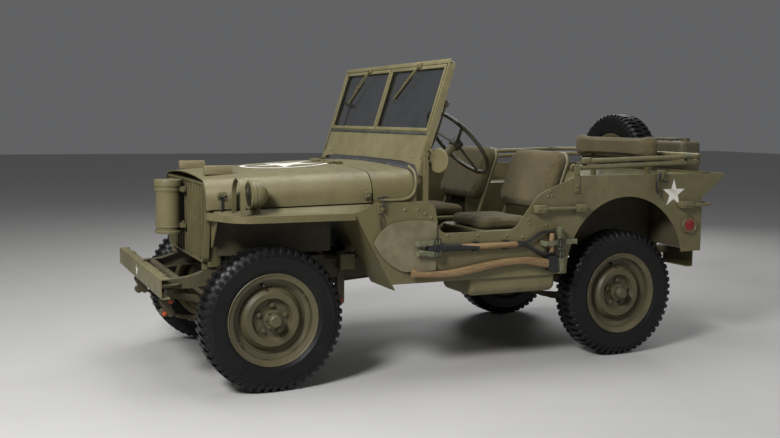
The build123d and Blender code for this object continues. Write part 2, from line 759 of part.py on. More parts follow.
# Lamps: two headlamps and two marker lamps behind the slats.
lamps = [  # place across, height, radius, depth
    (354, 884, 75, 95),
    (372, 781, 30, 42),
]
LAMP_X = GRILLE_X - GRILLE_DEPTH - SEAT_GAP
with BuildPart() as headlamps:
    for lamp_y, lamp_z, lamp_r, depth in lamps:
        with BuildSketch(Plane(origin=(LAMP_X, lamp_y, lamp_z), x_dir=(-1, 0, 0), z_dir=(0, 1, 0))):
            with BuildLine():
                Polyline(
                    (0, 0), (0, lamp_r - 8), (6, lamp_r), (20, lamp_r), (28, lamp_r * 0.8),
                    (depth, lamp_r * 0.35), (depth, 0), close=True,
                )
            make_face()
        revolve(axis=Axis((LAMP_X, lamp_y, lamp_z), (1, 0, 0)))
    mirror(about=Plane.XZ)
save(headlamps.part, "headlamps")

# Water can in front of the grille, held by two bands.
CAN_R = 65
CAN_AT = (GRILLE_X + 15 + CAN_R, -20)
with BuildPart() as front_can:
    with BuildSketch(Plane.XY.offset(710)):
        with Locations(CAN_AT):
            Circle(CAN_R)
    extrude(amount=275)
    for band_z in (740, 930):
        with BuildSketch(Plane.XY.offset(band_z)):
            with Locations(CAN_AT):
                Circle(CAN_R + 4)
        extrude(amount=25)
        box_between((GRILLE_X, CAN_AT[0]), (CAN_AT[1] - 50, CAN_AT[1] + 50), (band_z, band_z + 25))
save(front_can.part, "front_can")


# Hood: lofted shell with upright sides and rounded shoulders, and two wooden rest blocks on top.
HOOD_FRONT = (GRILLE_X + 2, 482, 870, 1033, 95)
HOOD_REAR = (HOOD_REAR_X, BODY_HALF - 35, LEDGE_Z, 1074, 110)
COWL_REAR = (COWL_REAR_X, BODY_HALF - 19, LEDGE_Z, 1080, 105)


def arch_section(station, half, low, high, shoulder, inset):
    """Closed arch across the car: sides, rounded shoulders and a slightly crowned top."""
    side = half - inset
    top = high - inset
    eave = top - 18
    bend = shoulder - inset
    edge_angle = radians(45)
    with BuildSketch(Plane.YZ.offset(station)) as section:
        with BuildLine():
            Line((-side, low), (-side, eave - bend))
            ThreePointArc(
                (-side, eave - bend),
                (-side + bend * (1 - cos(edge_angle)), eave - bend * (1 - sin(edge_angle))),
                (-side + bend, eave),
            )
            ThreePointArc((-side + bend, eave), (0, top), (side - bend, eave))
            ThreePointArc(
                (side - bend, eave),
                (side - bend * (1 - cos(edge_angle)), eave - bend * (1 - sin(edge_angle))),
                (side, eave - bend),
            )
            Line((side, eave - bend), (side, low))
            Line((side, low), (-side, low))
        make_face()
    return section.sketch


def arch_shell(front, rear, wall):
    """Thin sheet between two arch sections, open below and at both ends."""
    outer = [arch_section(*front, 0), arch_section(*rear, 0)]
    inner = [arch_section(*front, wall), arch_section(*rear, wall)]
    with BuildPart() as shell:
        loft(sections=outer)
        loft(sections=inner, mode=Mode.SUBTRACT)
    return shell.part


HINGE_X = (HOOD_REAR_X + FIREWALL_X) / 2
HINGE_Z = HOOD_REAR[3] + 8
HINGE_PIN_R = 4
HINGE_R = 6.5
LEAF_HALF = 55
HOOD_LEAF_Y = 110
hood_shell = arch_shell(HOOD_FRONT, HOOD_REAR, SHEET)
with BuildPart() as hood:
    add(hood_shell)
    for side in (-1, 1):
        leaf_span = (side * HOOD_LEAF_Y - LEAF_HALF, side * HOOD_LEAF_Y + LEAF_HALF)
        box_between((HINGE_X, HOOD_REAR_X + 25), leaf_span, (HINGE_Z - 9, HINGE_Z - 1))
        with Locations(Location((HINGE_X, side * HOOD_LEAF_Y, HINGE_Z), (90, 0, 0))):
            Cylinder(HINGE_R, 2 * LEAF_HALF)
            Cylinder(HINGE_PIN_R + SEAT_GAP, 2 * LEAF_HALF, mode=Mode.SUBTRACT)
    for side in (-1, 1):
        box_between((FRONT_X + 100, FRONT_X + 236), (side * 291 - 22, side * 291 + 22), (1030, 1072))
save(hood.part, "hood")

# Cowl with firewall in front and the dash below its rear edge.
COWL_FRONT = (FIREWALL_X, HOOD_REAR[1], HOOD_REAR[2], HOOD_REAR[3], HOOD_REAR[4])
TOE_Z = 760
cowl_shell = arch_shell(COWL_FRONT, COWL_REAR, SHEET)
firewall_face = arch_section(*COWL_FRONT, 0)
dash_face = arch_section(COWL_REAR_X, *COWL_REAR[1:], SHEET)
with BuildPart() as cowl:
    add(cowl_shell)
    extrude(firewall_face, amount=-SHEET)
    box_between((FIREWALL_X - SHEET, FIREWALL_X), (-BODY_HALF + SHEET, BODY_HALF - SHEET), (TOE_Z, LEDGE_Z))
    extrude(dash_face, amount=SHEET)
    for side in (-1, 1):
        box_between(
            (COWL_REAR_X, FIREWALL_X),
            (side * (HOOD_REAR[1] - 12), side * (BODY_HALF - SHEET)),
            (LEDGE_Z - SHEET, LEDGE_Z),
        )
    with Locations(Location((HINGE_X, 0, HINGE_Z), (90, 0, 0))):
        Cylinder(HINGE_PIN_R, 4 * HOOD_LEAF_Y)
    for arm_y in (-2 * HOOD_LEAF_Y + 22, 0, 2 * HOOD_LEAF_Y - 22):
        box_between((FIREWALL_X - 25, HINGE_X), (arm_y - 20, arm_y + 20), (HINGE_Z - 12, HINGE_Z + HINGE_PIN_R))
    with Locations(Location((COWL_REAR_X, 0, 985), (0, 90, 0))):
        with GridLocations(0, 110, 1, 3):
            Cylinder(34, 40, mode=Mode.SUBTRACT)
save(cowl.part, "cowl")

# Fenders: tops that rise to the hood's lower edge, a turned-down lip, an inner apron, a slanting
# rear skirt and a wing plate beside the grille.
SKIRT_TOP = (FRONT_X - 394, FENDER_TOP)
SKIRT_LOW = (FRONT_X - 606, 465)
skirt_run = Vector(SKIRT_LOW[0] - SKIRT_TOP[0], SKIRT_LOW[1] - SKIRT_TOP[1]).normalized()
skirt_back = Vector(skirt_run.Y, -skirt_run.X)
FENDER_NOSE = FRONT_X + 274
FENDER_REAR = SKIRT_TOP[0] - SHEET
fender_outline = [
    (FENDER_REAR, APRON_Y),
    (GRILLE_X - GRILLE_DEPTH - 2, APRON_Y),
    (GRILLE_X - GRILLE_DEPTH - 2, GRILLE_LOW_HALF + 48),
    (FENDER_NOSE, GRILLE_LOW_HALF + 48),
    (FENDER_NOSE, 500),
    (FRONT_X + 184, BODY_HALF),
    (FENDER_REAR, BODY_HALF),
]
CROWN_GAP = MOVE_GAP + 1
CROWN_EDGE = 8
CROWN_NOSE = GRILLE_X - GRILLE_DEPTH - 4
CROWN_TAIL = FIREWALL_X + 9
WING_X = CROWN_NOSE - 8
WING_LOW = 684
WING_TOP = FENDER_TOP - 2
WING_IN = APRON_Y + 20
WING_OUT = 545


def hood_edge(station):
    """Half width and height of the hood's lower edge at a station."""
    share = (station - HOOD_REAR[0]) / (HOOD_FRONT[0] - HOOD_REAR[0])
    half = HOOD_REAR[1] + (HOOD_FRONT[1] - HOOD_REAR[1]) * share
    return half, HOOD_REAR[2] + (HOOD_FRONT[2] - HOOD_REAR[2]) * share


with BuildPart() as fender_crown:
    for crown_x, outer_y in ((CROWN_TAIL, BODY_HALF - CROWN_EDGE), (CROWN_NOSE, WING_OUT)):
        ridge_y, ridge_z = hood_edge(crown_x)
        with BuildSketch(Plane.YZ.offset(crown_x)):
            with BuildLine():
                Polyline(
                    (APRON_Y, FENDER_TOP), (ridge_y, ridge_z - CROWN_GAP), (outer_y, FENDER_TOP), close=True
                )
            make_face()
    loft()
with BuildPart() as fenders:
    with BuildSketch(Plane.XY.offset(FENDER_TOP)) as fender_plan:
        with BuildLine():
            FilletPolyline(*fender_outline, radius=[0, 0, 0, 0, 60, 150, 0], close=True)
        make_face()
    extrude(amount=-FENDER_LIP)
    with BuildSketch(Plane.XY.offset(FENDER_TOP - SHEET)):
        add(fender_plan.sketch.face().moved(Location((0, 0, -FENDER_TOP))))
        offset(amount=-SHEET, mode=Mode.REPLACE)
    extrude(amount=-FENDER_LIP, mode=Mode.SUBTRACT)
    add(fender_crown.part)
    with BuildSketch(Plane.YZ.offset(WING_X)):
        with BuildLine():
            Polyline((WING_OUT, WING_TOP), (APRON_Y, WING_TOP), (APRON_Y, WING_LOW), (WING_IN, WING_LOW))
            ThreePointArc((WING_IN, WING_LOW), (WING_IN + 50, WING_LOW + 70), (WING_OUT, WING_TOP))
        make_face()
    extrude(amount=SHEET)
    box_between((FRONT_X - 376, FRONT_X + 210), (APRON_Y, APRON_Y + SHEET), (640, FENDER_TOP))
    box_between((FRONT_X + 200, WING_X + SHEET), (APRON_Y, APRON_Y + SHEET), (WING_LOW, FENDER_TOP))
    with BuildSketch(side_plane(BODY_HALF)):
        with BuildLine():
            Polyline(
                SKIRT_TOP,
                SKIRT_LOW,
                (SKIRT_LOW[0] + skirt_back.X * SHEET, SKIRT_LOW[1] + skirt_back.Y * SHEET),
                (SKIRT_TOP[0] + SHEET / skirt_back.X, FENDER_TOP),
                close=True,
            )
        make_face()
    extrude(amount=BODY_HALF - APRON_Y)
    mirror(about=Plane.XZ)
save(fenders.part, "fenders")

# Body sides: one sheet with the door cut-out, the rear wheel arch and the swept-out tail.
ARCH_X = REAR_X + 10
ARCH_Z = 506
ARCH_R = 395
SKIRT_CLEAR = SHEET + SEAT_GAP


def body_edge(height):
    """Point on the body's slanting front edge, just behind the fender's skirt."""
    along = (height - FENDER_TOP) * skirt_run.X / skirt_run.Y
    return (SKIRT_TOP[0] + along + SKIRT_CLEAR / skirt_back.X, height)


side_outline = [
    (FIREWALL_X, LEDGE_Z),
    body_edge(FENDER_TOP),
    body_edge(SILL_Z),
    (REAR_X, SILL_Z),
    (REAR_X, 577),
    (PANEL_X, 577),
    (PANEL_X, 892),
    (TAIL_X, 1000),
    (TAIL_X, BODY_TOP),
    (SHIELD_X - POST_HALF, BODY_TOP),
    (SHIELD_X - POST_HALF, LEDGE_Z),
]
DOOR_X = SHIELD_X - POST_HALF
door_outline = [
    (DOOR_X, LEDGE_Z),
    (DOOR_X - 40, 880),
    (DOOR_X - 66, 742),
    (REAR_X + 738, 742),
    (REAR_X + 594, 925),
    (REAR_X + 350, BODY_TOP),
]
with BuildPart() as body_sides:
    with BuildSketch(side_plane(BODY_HALF)):
        Polygon(*side_outline, align=None)
        with BuildLine():
            FilletPolyline(*door_outline, radius=[40, 55, 90, 150])
            Polyline(door_outline[-1], (REAR_X + 350, BODY_TOP + 40), (DOOR_X, BODY_TOP + 40), door_outline[0])
        make_face(mode=Mode.SUBTRACT)
        with Locations((ARCH_X, ARCH_Z)):
            Circle(ARCH_R, mode=Mode.SUBTRACT)
    extrude(amount=SHEET)
    mirror(about=Plane.XZ)
save(body_sides.part, "body_sides")

# Rear panel: upright below, swept out above, with a rail along its top.
BODY_IN = BODY_HALF - SHEET
with BuildPart() as rear_panel:
    with BuildSketch(side_plane(BODY_IN)):
        with BuildLine():
            Polyline(
                (PANEL_X, 577),
                (PANEL_X, 892),
                (TAIL_X, 1000),
                (TAIL_X, BODY_TOP),
                (TAIL_X + 20, BODY_TOP),
                (TAIL_X + 20, 1000 + 6),
                (PANEL_X + SHEET, 895),
                (PANEL_X + SHEET, 577),
                close=True,
            )
        make_face()
    extrude(amount=2 * BODY_IN)
save(rear_panel.part, "rear_panel")

# Steering column line, which also bores the toe board.
column_way = Vector(sin(radians(STEER_TILT)), 0, -cos(radians(STEER_TILT)))
wheel_spot = Vector(STEER_X, STEER_Y, STEER_Z)
COLUMN_R = 21
COLUMN_TOP = 34
COLUMN_LENGTH = 880
column_rod = straight_rod(
    wheel_spot + column_way * (COLUMN_TOP + SEAT_GAP),
    wheel_spot + column_way * COLUMN_LENGTH,
    COLUMN_R,
)
column_bore = straight_rod(wheel_spot, wheel_spot + column_way * COLUMN_LENGTH, COLUMN_R + 4)

# Floor pan with its slanting toe board and body mounts on the rails.
WELL_FRONT_X = REAR_X + 400
TOE_X = FIREWALL_X - 85
with BuildPart() as floor_pan:
    box_between((WELL_FRONT_X, TOE_X), (-BODY_IN, BODY_IN), (FLOOR_Z, FLOOR_Z + SHEET))
    box_between((PANEL_X + SHEET, WELL_FRONT_X), (-WELL_IN, WELL_IN), (FLOOR_Z, FLOOR_Z + SHEET))
    with BuildSketch(side_plane(BODY_IN)):
        with BuildLine():
            Polyline(
                (TOE_X, FLOOR_Z),
                (TOE_X, FLOOR_Z + SHEET),
                (FIREWALL_X - SHEET, TOE_Z),
                (FIREWALL_X, TOE_Z),
                (TOE_X + 4, FLOOR_Z),
                close=True,
            )
        make_face()
    extrude(amount=2 * BODY_IN)
    for mount_x in (TOE_X - 60, FRONT_X - 1150, REAR_X + 300, PANEL_X + 120):
        for side in (-1, 1):
            with Locations((mount_x, side * RAIL_MID, (RAIL_TOP + FLOOR_Z) / 2)):
                Cylinder(20, FLOOR_Z - RAIL_TOP)
    add(column_bore, mode=Mode.SUBTRACT)
save(floor_pan.part, "floor_pan")

# Rear wheel wells, open below and against the body sides.
WELL_REAR_X = REAR_X - 382
with BuildPart() as wheel_wells:
    with BuildSketch(side_plane(BODY_IN)) as well_face:
        with BuildLine():
            FilletPolyline(
                (WELL_REAR_X, FLOOR_Z),
                (WELL_FRONT_X, FLOOR_Z),
                (WELL_FRONT_X, WELL_TOP),
                (WELL_REAR_X, WELL_TOP),
                radius=[0, 0, 110, 60],
                close=True,
            )
        make_face()
    extrude(amount=BODY_IN - WELL_IN)
    with BuildSketch(side_plane(BODY_IN)):
        add(well_face.sketch.face().moved(Location((0, BODY_IN, 0))))
        offset(amount=-SHEET, mode=Mode.REPLACE)
    extrude(amount=BODY_IN - WELL_IN - SHEET, mode=Mode.SUBTRACT)
    box_between(
        (WELL_REAR_X + SHEET, WELL_FRONT_X - SHEET),
        (WELL_IN + SHEET, BODY_IN),
        (FLOOR_Z, FLOOR_Z + 2 * SHEET),
        mode=Mode.SUBTRACT,
    )
    mirror(about=Plane.XZ)
save(wheel_wells.part, "wheel_wells")

# Windshield: lower sheet, glass openings and a divider, tilting on pins in two posts.
SHIELD_TILT = radians(SHIELD_RAKE)
shield_plane = Plane(
    origin=(SHIELD_X, 0, SHIELD_Z), x_dir=(0, 1, 0), z_dir=(cos(SHIELD_TILT), 0, sin(SHIELD_TILT))
)
GLASS_LOW = 160
GLASS_HIGH = 486
GLASS_SIDE = SHIELD_HALF - 38
DIVIDER = 14
SHIELD_PIN_R = 8
shield_outline = [
    (-SHIELD_HALF, -78),
    (62 - SHIELD_HALF, -30),
    (222 - SHIELD_HALF, -16),
    (0, -12),
    (SHIELD_HALF - 222, -16),
    (SHIELD_HALF - 62, -30),
    (SHIELD_HALF, -78),
    (SHIELD_HALF, SHIELD_TOP),
    (-SHIELD_HALF, SHIELD_TOP),
]
pane_middle = (GLASS_SIDE + DIVIDER) / 2
pane_size = (GLASS_SIDE - DIVIDER, GLASS_HIGH - GLASS_LOW)
with BuildPart() as windshield_frame:
    with BuildSketch(shield_plane.offset(-SHIELD_DEPTH / 2)):
        with BuildLine():
            FilletPolyline(*shield_outline, radius=[0, 60, 150, 0, 150, 60, 0, 45, 45], close=True)
        make_face()
        for side in (-1, 1):
            with Locations((side * pane_middle, (GLASS_LOW + GLASS_HIGH) / 2)):
                RectangleRounded(*pane_size, 24, mode=Mode.SUBTRACT)
    extrude(amount=SHIELD_DEPTH)
    with BuildSketch(shield_plane.offset(-SHIELD_DEPTH / 2)):
        with Locations((0, 68)):
            Rectangle(2 * GLASS_SIDE, 120)
    extrude(amount=SHIELD_DEPTH - SHEET, mode=Mode.SUBTRACT)
    with Locations(Location((SHIELD_X, 0, SHIELD_Z), (90, 0, 0))):
        Cylinder(SHIELD_PIN_R + SEAT_GAP, 3 * SHIELD_HALF, mode=Mode.SUBTRACT)
save(windshield_frame.part, "windshield_frame")

with BuildPart() as windshield_glass:
    with BuildSketch(shield_plane.offset(-3)):
        for side in (-1, 1):
            with Locations((side * pane_middle, (GLASS_LOW + GLASS_HIGH) / 2)):
                RectangleRounded(pane_size[0] - 2 * SEAT_GAP, pane_size[1] - 2 * SEAT_GAP, 24)
    extrude(amount=6)
save(windshield_glass.part, "windshield_glass")

POST_Y = SHIELD_HALF + MOVE_GAP
with BuildPart() as windshield_posts:
    box_between((SHIELD_X - POST_HALF, SHIELD_X + POST_HALF), (POST_Y, BODY_HALF), (LEDGE_Z, SHIELD_Z))
    with Locations(Location((SHIELD_X, (POST_Y + BODY_HALF) / 2, SHIELD_Z), (90, 0, 0))):
        Cylinder(POST_HALF, BODY_HALF - POST_Y)
    with Locations(Location((SHIELD_X, POST_Y - 8, SHIELD_Z), (90, 0, 0))):
        Cylinder(SHIELD_PIN_R, 30)
    mirror(about=Plane.XZ)

# Wipers hung from the top bar, in front of the glass.
WIPER_FACE = SHIELD_DEPTH / 2
with BuildPart() as wipers:
    for wiper_y, lean in ((372, -48), (-296, -43)):
        with BuildSketch(shield_plane.offset(WIPER_FACE)):
            with Locations((wiper_y, GLASS_HIGH + 18)):
                Circle(12)
        extrude(amount=18)
        with BuildSketch(shield_plane.offset(WIPER_FACE + 8)):
            with Locations(Location((wiper_y, GLASS_HIGH + 18, 0), (0, 0, lean))):
                Rectangle(8, 276, align=(Align.CENTER, Align.MAX))
        extrude(amount=8)
save(wipers.part, "wipers")

# Round mirror on a short arm from the windshield's left edge.
MIRROR_X = SHIELD_X - 62
MIRROR_Y = SHIELD_HALF + 33
MIRROR_FOOT = (SHIELD_X - 19, SHIELD_HALF + 7, SHIELD_Z + 60)
mirror_arm = straight_rod(MIRROR_FOOT, (MIRROR_X, MIRROR_Y, SHIELD_Z + 6), 6)
mirror_plane = Plane(origin=(MIRROR_X, MIRROR_Y, SHIELD_Z), z_dir=(-cos(radians(28)), -sin(radians(28)), 0))
with BuildPart() as rear_mirror:
    with BuildSketch(mirror_plane.offset(-8)):
        Circle(62)
    extrude(amount=14)
    fillet(rear_mirror.edges().filter_by(GeomType.CIRCLE), radius=5)
    add(mirror_arm)
    box_between(
        (MIRROR_FOOT[0] - 9, MIRROR_FOOT[0] + 9),
        (SHIELD_HALF, SHIELD_HALF + 14),
        (MIRROR_FOOT[2] - 12, MIRROR_FOOT[2] + 12),
    )
save(rear_mirror.part, "rear_mirror")

# Steering column with its gear box on the rail, and the steering wheel.
gear_spot = wheel_spot + column_way * COLUMN_LENGTH
with BuildPart() as steering_column:
    add(column_rod)
    box_between((gear_spot.X - 35, gear_spot.X + 45), (RAIL_OUT, RAIL_OUT + 52), (RAIL_TOP - 56, gear_spot.Z + 6))
save(steering_column.part, "steering_column")

STEER_RIM_R = 11
wheel_plane = Plane(origin=wheel_spot, x_dir=(0, 1, 0), z_dir=column_way * -1)
with BuildPart() as steering_wheel:
    with BuildSketch(Plane(origin=wheel_spot, x_dir=(0, 1, 0), z_dir=wheel_plane.y_dir)):
        with Locations((STEER_R, 0)):
            Circle(STEER_RIM_R)
    revolve(axis=Axis(wheel_spot, column_way))
    with BuildSketch(wheel_plane.offset(-COLUMN_TOP)):
        Circle(34)
    extrude(amount=COLUMN_TOP + 8)
    with BuildSketch(wheel_plane.offset(-14)):
        with PolarLocations(STEER_R / 2, 3, start_angle=90):
            Rectangle(STEER_R - 10, 14)
    extrude(amount=10)
save(steering_wheel.part, "steering_wheel")

# Seats: bent tube frames with plain cushions, two in front and a bench behind.
SEAT_TUBE_R = 13
SEAT_Y = BODY_HALF - 345
SEAT_HALF = SEAT_Y - 145
FLOOR_TOP = FLOOR_Z + SHEET
seat_back_top = (STEER_X - 564, 1130)
seat_back_low = (STEER_X - 440, 800)
SEAT_FRONT_X = STEER_X - 10
SEAT_Z = 720
front_seat_tubes = []
for seat_y in (SEAT_Y, -SEAT_Y):
    for leg_y in (seat_y - SEAT_HALF, seat_y + SEAT_HALF):
        front_seat_tubes.append(
            bent_tube(
                [
                    (SEAT_FRONT_X, leg_y, FLOOR_TOP),
                    (SEAT_FRONT_X, leg_y, SEAT_Z),
                    (seat_back_low[0], leg_y, SEAT_Z),
                    (seat_back_low[0], leg_y, FLOOR_TOP),
                ],
                50,
                SEAT_TUBE_R,
            )
        )
    front_seat_tubes.append(
        bent_tube(
            [
                (seat_back_low[0] + 20, seat_y - SEAT_HALF, SEAT_Z),
                (*seat_back_top[:1], seat_y - SEAT_HALF, seat_back_top[1]),
                (*seat_back_top[:1], seat_y + SEAT_HALF, seat_back_top[1]),
                (seat_back_low[0] + 20, seat_y + SEAT_HALF, SEAT_Z),
            ],
            70,
            SEAT_TUBE_R,
        )
    )
with BuildPart() as front_seat_frames:
    for tube in front_seat_tubes:
        add(tube)
    for seat_y in (SEAT_Y, -SEAT_Y):
        box_between(
            (seat_back_low[0] + 20, SEAT_FRONT_X - 20),
            (seat_y - SEAT_HALF, seat_y + SEAT_HALF),
            (SEAT_Z, SEAT_Z + 8),
        )

PAD = 60
back_run = Vector(seat_back_top[0] - seat_back_low[0] - 20, 0, seat_back_top[1] - SEAT_Z).normalized()
with BuildPart() as front_cushions:
    for seat_y in (SEAT_Y, -SEAT_Y):
        with Locations(((SEAT_FRONT_X + seat_back_low[0]) / 2 + 20, seat_y, SEAT_Z + 8 + PAD / 2 + SEAT_GAP)):
            Box(SEAT_FRONT_X - seat_back_low[0] - 90, 2 * SEAT_HALF - 60, PAD)
        back_plane = Plane(
            origin=(seat_back_low[0] + 20 + back_run.X * 270, seat_y, SEAT_Z + back_run.Z * 270),
            x_dir=(0, 1, 0),
            z_dir=(back_run.Z, 0, -back_run.X),
        )
        with BuildSketch(back_plane.offset(SEAT_TUBE_R + SEAT_GAP)):
            RectangleRounded(2 * SEAT_HALF + 10, 290, 60)
        extrude(amount=PAD - 15)

REAR_SEAT_Z = 770
REAR_BACK_X = PANEL_X - 40
REAR_PAD_HALF = 410
REAR_PAD_Z = (1080, 1235)
REAR_SEAT_HALF = WELL_IN - 18
with BuildPart() as rear_seat_frame:
    rear_seat_span = (REAR_BACK_X + 60, REAR_BACK_X + 440)
    box_between(rear_seat_span, (-REAR_SEAT_HALF, REAR_SEAT_HALF), (REAR_SEAT_Z - 20, REAR_SEAT_Z))
    for leg_x in (REAR_BACK_X + 90, REAR_BACK_X + 410):
        for side in (-1, 1):
            box_between(
                (leg_x - 15, leg_x + 15),
                (side * (REAR_SEAT_HALF - 30), side * REAR_SEAT_HALF),
                (FLOOR_TOP, REAR_SEAT_Z - 20),
            )
    for side in (-1, 1):
        box_between(
            (REAR_BACK_X + 60, REAR_BACK_X + 85),
            (side * (REAR_SEAT_HALF - 120), side * (REAR_SEAT_HALF - 150)),
            (REAR_SEAT_Z, 1200),
        )
with BuildPart() as seat_frames:
    add(front_seat_frames.part)
    add(rear_seat_frame.part)
save(seat_frames.part, "seat_frames")

with BuildPart() as rear_cushions:
    box_between(
        (REAR_BACK_X + 180, REAR_BACK_X + 440),
        (-REAR_SEAT_HALF, REAR_SEAT_HALF),
        (REAR_SEAT_Z + SEAT_GAP, REAR_SEAT_Z + 80),
    )
    box_between(
        (REAR_BACK_X + 85 + SEAT_GAP, REAR_BACK_X + 155), (-REAR_PAD_HALF, REAR_PAD_HALF), REAR_PAD_Z
    )
with BuildPart() as seat_cushions:
    add(front_cushions.part)
    add(rear_cushions.part)
save(seat_cushions.part, "seat_cushions")

# Fuel tank hung under the floor between the left rail and the sill.
with BuildPart() as fuel_tank:
    box_between((REAR_X + 462, REAR_X + 987), (RAIL_OUT + 12, BODY_IN - 8), (400, FLOOR_Z))
    fillet(fuel_tank.edges().filter_by(Axis.X).group_by(Axis.Z)[0], radius=45)
    fillet(fuel_tank.edges().filter_by(Axis.Z), radius=30)
save(fuel_tank.part, "fuel_tank")

# Shovel and axe on the left side: wooden handles, steel heads and the rests that carry them.
TOOL_Y = BODY_HALF + 17
BLADE_X = FRONT_X - 832
NOSE_X = FRONT_X - 494
SHAFT_X = FRONT_X - 970
FORK_X = FRONT_X - 1300
GRIP_X = FRONT_X - 1518
SHAFT_Z = 669
SHAFT_R = 16
FORK_R = 7
FORK_HALF = 58
AXE_W = 26
AXE_Y = BODY_HALF + 26
AXE_HEAD_X = FRONT_X - 1490
axe_shape = [  # place behind the front axle, middle height, half height
    (690, 551, 25),
    (740, 544, 18),
    (855, 541, 18),
    (1036, 554, 26),
    (1223, 578, 27),
    (1377, 583, 21),
    (1490, 560, 25),
]
axe_tops = [(FRONT_X - back, middle + half) for back, middle, half in axe_shape]
axe_lows = [(FRONT_X - back, middle - half) for back, middle, half in axe_shape]
shovel_shaft = straight_rod((SHAFT_X, TOOL_Y, SHAFT_Z), (FORK_X, TOOL_Y, SHAFT_Z), SHAFT_R)
with BuildPart() as tool_handles:
    add(shovel_shaft)
    with Locations((GRIP_X, TOOL_Y, SHAFT_Z)):
        Cylinder(14, 2 * (FORK_HALF - FORK_R - SEAT_GAP))
    with BuildSketch(side_plane(AXE_Y + AXE_W / 2)):
        with BuildLine():
            Spline(*axe_tops)
            Line(axe_tops[-1], axe_lows[-1])
            Spline(*reversed(axe_lows))
            Line(axe_lows[0], axe_tops[0])
        make_face()
    extrude(amount=AXE_W)
save(tool_handles.part, "tool_handles")

with BuildPart() as tool_heads:
    with BuildSketch(side_plane(BODY_HALF + 12)):
        with BuildLine():
            Line((BLADE_X, 558), (BLADE_X, 802))
            ThreePointArc((BLADE_X, 802), (BLADE_X + 90, 813), (BLADE_X + 190, 810))
            ThreePointArc((BLADE_X + 190, 810), (NOSE_X - 55, 780), (NOSE_X, 705))
            ThreePointArc((NOSE_X, 705), (NOSE_X - 60, 620), (BLADE_X + 190, 562))
            ThreePointArc((BLADE_X + 190, 562), (BLADE_X + 90, 553), (BLADE_X, 558))
        make_face()
    extrude(amount=9)
    with Locations(Location(((BLADE_X + 56 + SHAFT_X + SEAT_GAP) / 2, TOOL_Y, SHAFT_Z), (0, 90, 0))):
        Cylinder(SHAFT_R + 1, BLADE_X + 56 - SHAFT_X - SEAT_GAP)
    with Locations(Location((FORK_X - 14 - SEAT_GAP, TOOL_Y, SHAFT_Z), (0, 90, 0))):
        Cylinder(SHAFT_R, 28)
    for arm in (-1, 1):
        fork_arm = bent_tube(
            [
                (FORK_X - 20, TOOL_Y, SHAFT_Z + arm * 6),
                (FORK_X - 60, TOOL_Y, SHAFT_Z + arm * 6),
                (FORK_X - 160, TOOL_Y, SHAFT_Z + arm * FORK_HALF),
                (GRIP_X - 16, TOOL_Y, SHAFT_Z + arm * FORK_HALF),
            ],
            36,
            FORK_R,
        )
        add(fork_arm)
    with BuildSketch(side_plane(AXE_Y + AXE_W / 2)):
        with BuildLine():
            Polyline(
                (AXE_HEAD_X - SEAT_GAP, 520),
                (AXE_HEAD_X - SEAT_GAP, 598),
                (AXE_HEAD_X - 58, 600),
                (AXE_HEAD_X - 58, 505),
                close=True,
            )
        make_face()
    extrude(amount=AXE_W)

clips = (FRONT_X - 1060, FRONT_X - 1240)
CLIP_HALF = 14
with BuildPart() as tool_rests:
    for clip_x in clips:
        clip_x_span = (clip_x - CLIP_HALF, clip_x + CLIP_HALF)
        box_between(clip_x_span, (BODY_HALF, TOOL_Y + 4), (SHAFT_Z - 24, SHAFT_Z + 24))
        with Locations(Location((clip_x, TOOL_Y, SHAFT_Z), (0, 90, 0))):
            Cylinder(SHAFT_R + SEAT_GAP, 3 * CLIP_HALF, mode=Mode.SUBTRACT)
    axe_back = AXE_Y - AXE_W / 2 - SEAT_GAP
    box_between((FRONT_X - 889, FRONT_X - 861), (BODY_HALF, axe_back), (527, 555))
    box_between((AXE_HEAD_X - 44, AXE_HEAD_X - 16), (BODY_HALF, AXE_Y), (530, 590))
    box_between((BLADE_X + 6, BLADE_X + 66), (BODY_HALF, BODY_HALF + 4), (640, 700))
with BuildPart() as tool_steel:
    add(tool_heads.part)
    add(tool_rests.part)
save(tool_steel.part, "tool_steel")

# Grab handles: one on each side behind the door and one round each rear corner.
GRAB_R = 10
GRAB_Z = 850
GRIP_PLATE = 4
GRAB_Y = BODY_HALF + 24
GRIP_ENDS = (REAR_X + 614, REAR_X + 310)
side_grip = bent_tube(
    [
        (GRIP_ENDS[0], BODY_HALF, GRAB_Z),
        (GRIP_ENDS[0], GRAB_Y, GRAB_Z),
        (GRIP_ENDS[1], GRAB_Y, GRAB_Z),
        (GRIP_ENDS[1], BODY_HALF, GRAB_Z),
    ],
    16,
    GRAB_R,
)
corner_grip = bent_tube(
    [
        (PANEL_X + 170, BODY_HALF, 846),
        (PANEL_X + 170, GRAB_Y, 846),
        (PANEL_X - 40, GRAB_Y, 846),
        (PANEL_X - 40, BODY_HALF - 165, 846),
        (PANEL_X, BODY_HALF - 165, 846),
    ],
    18,
    GRAB_R,
)
with BuildPart() as grab_handles:
    add(side_grip)
    add(corner_grip)
    for end_x in GRIP_ENDS:
        box_between((end_x - 30, end_x + 30), (BODY_HALF, BODY_HALF + GRIP_PLATE), (GRAB_Z - 18, GRAB_Z + 18))
    mirror(about=Plane.XZ)
save(grab_handles.part, "grab_handles")

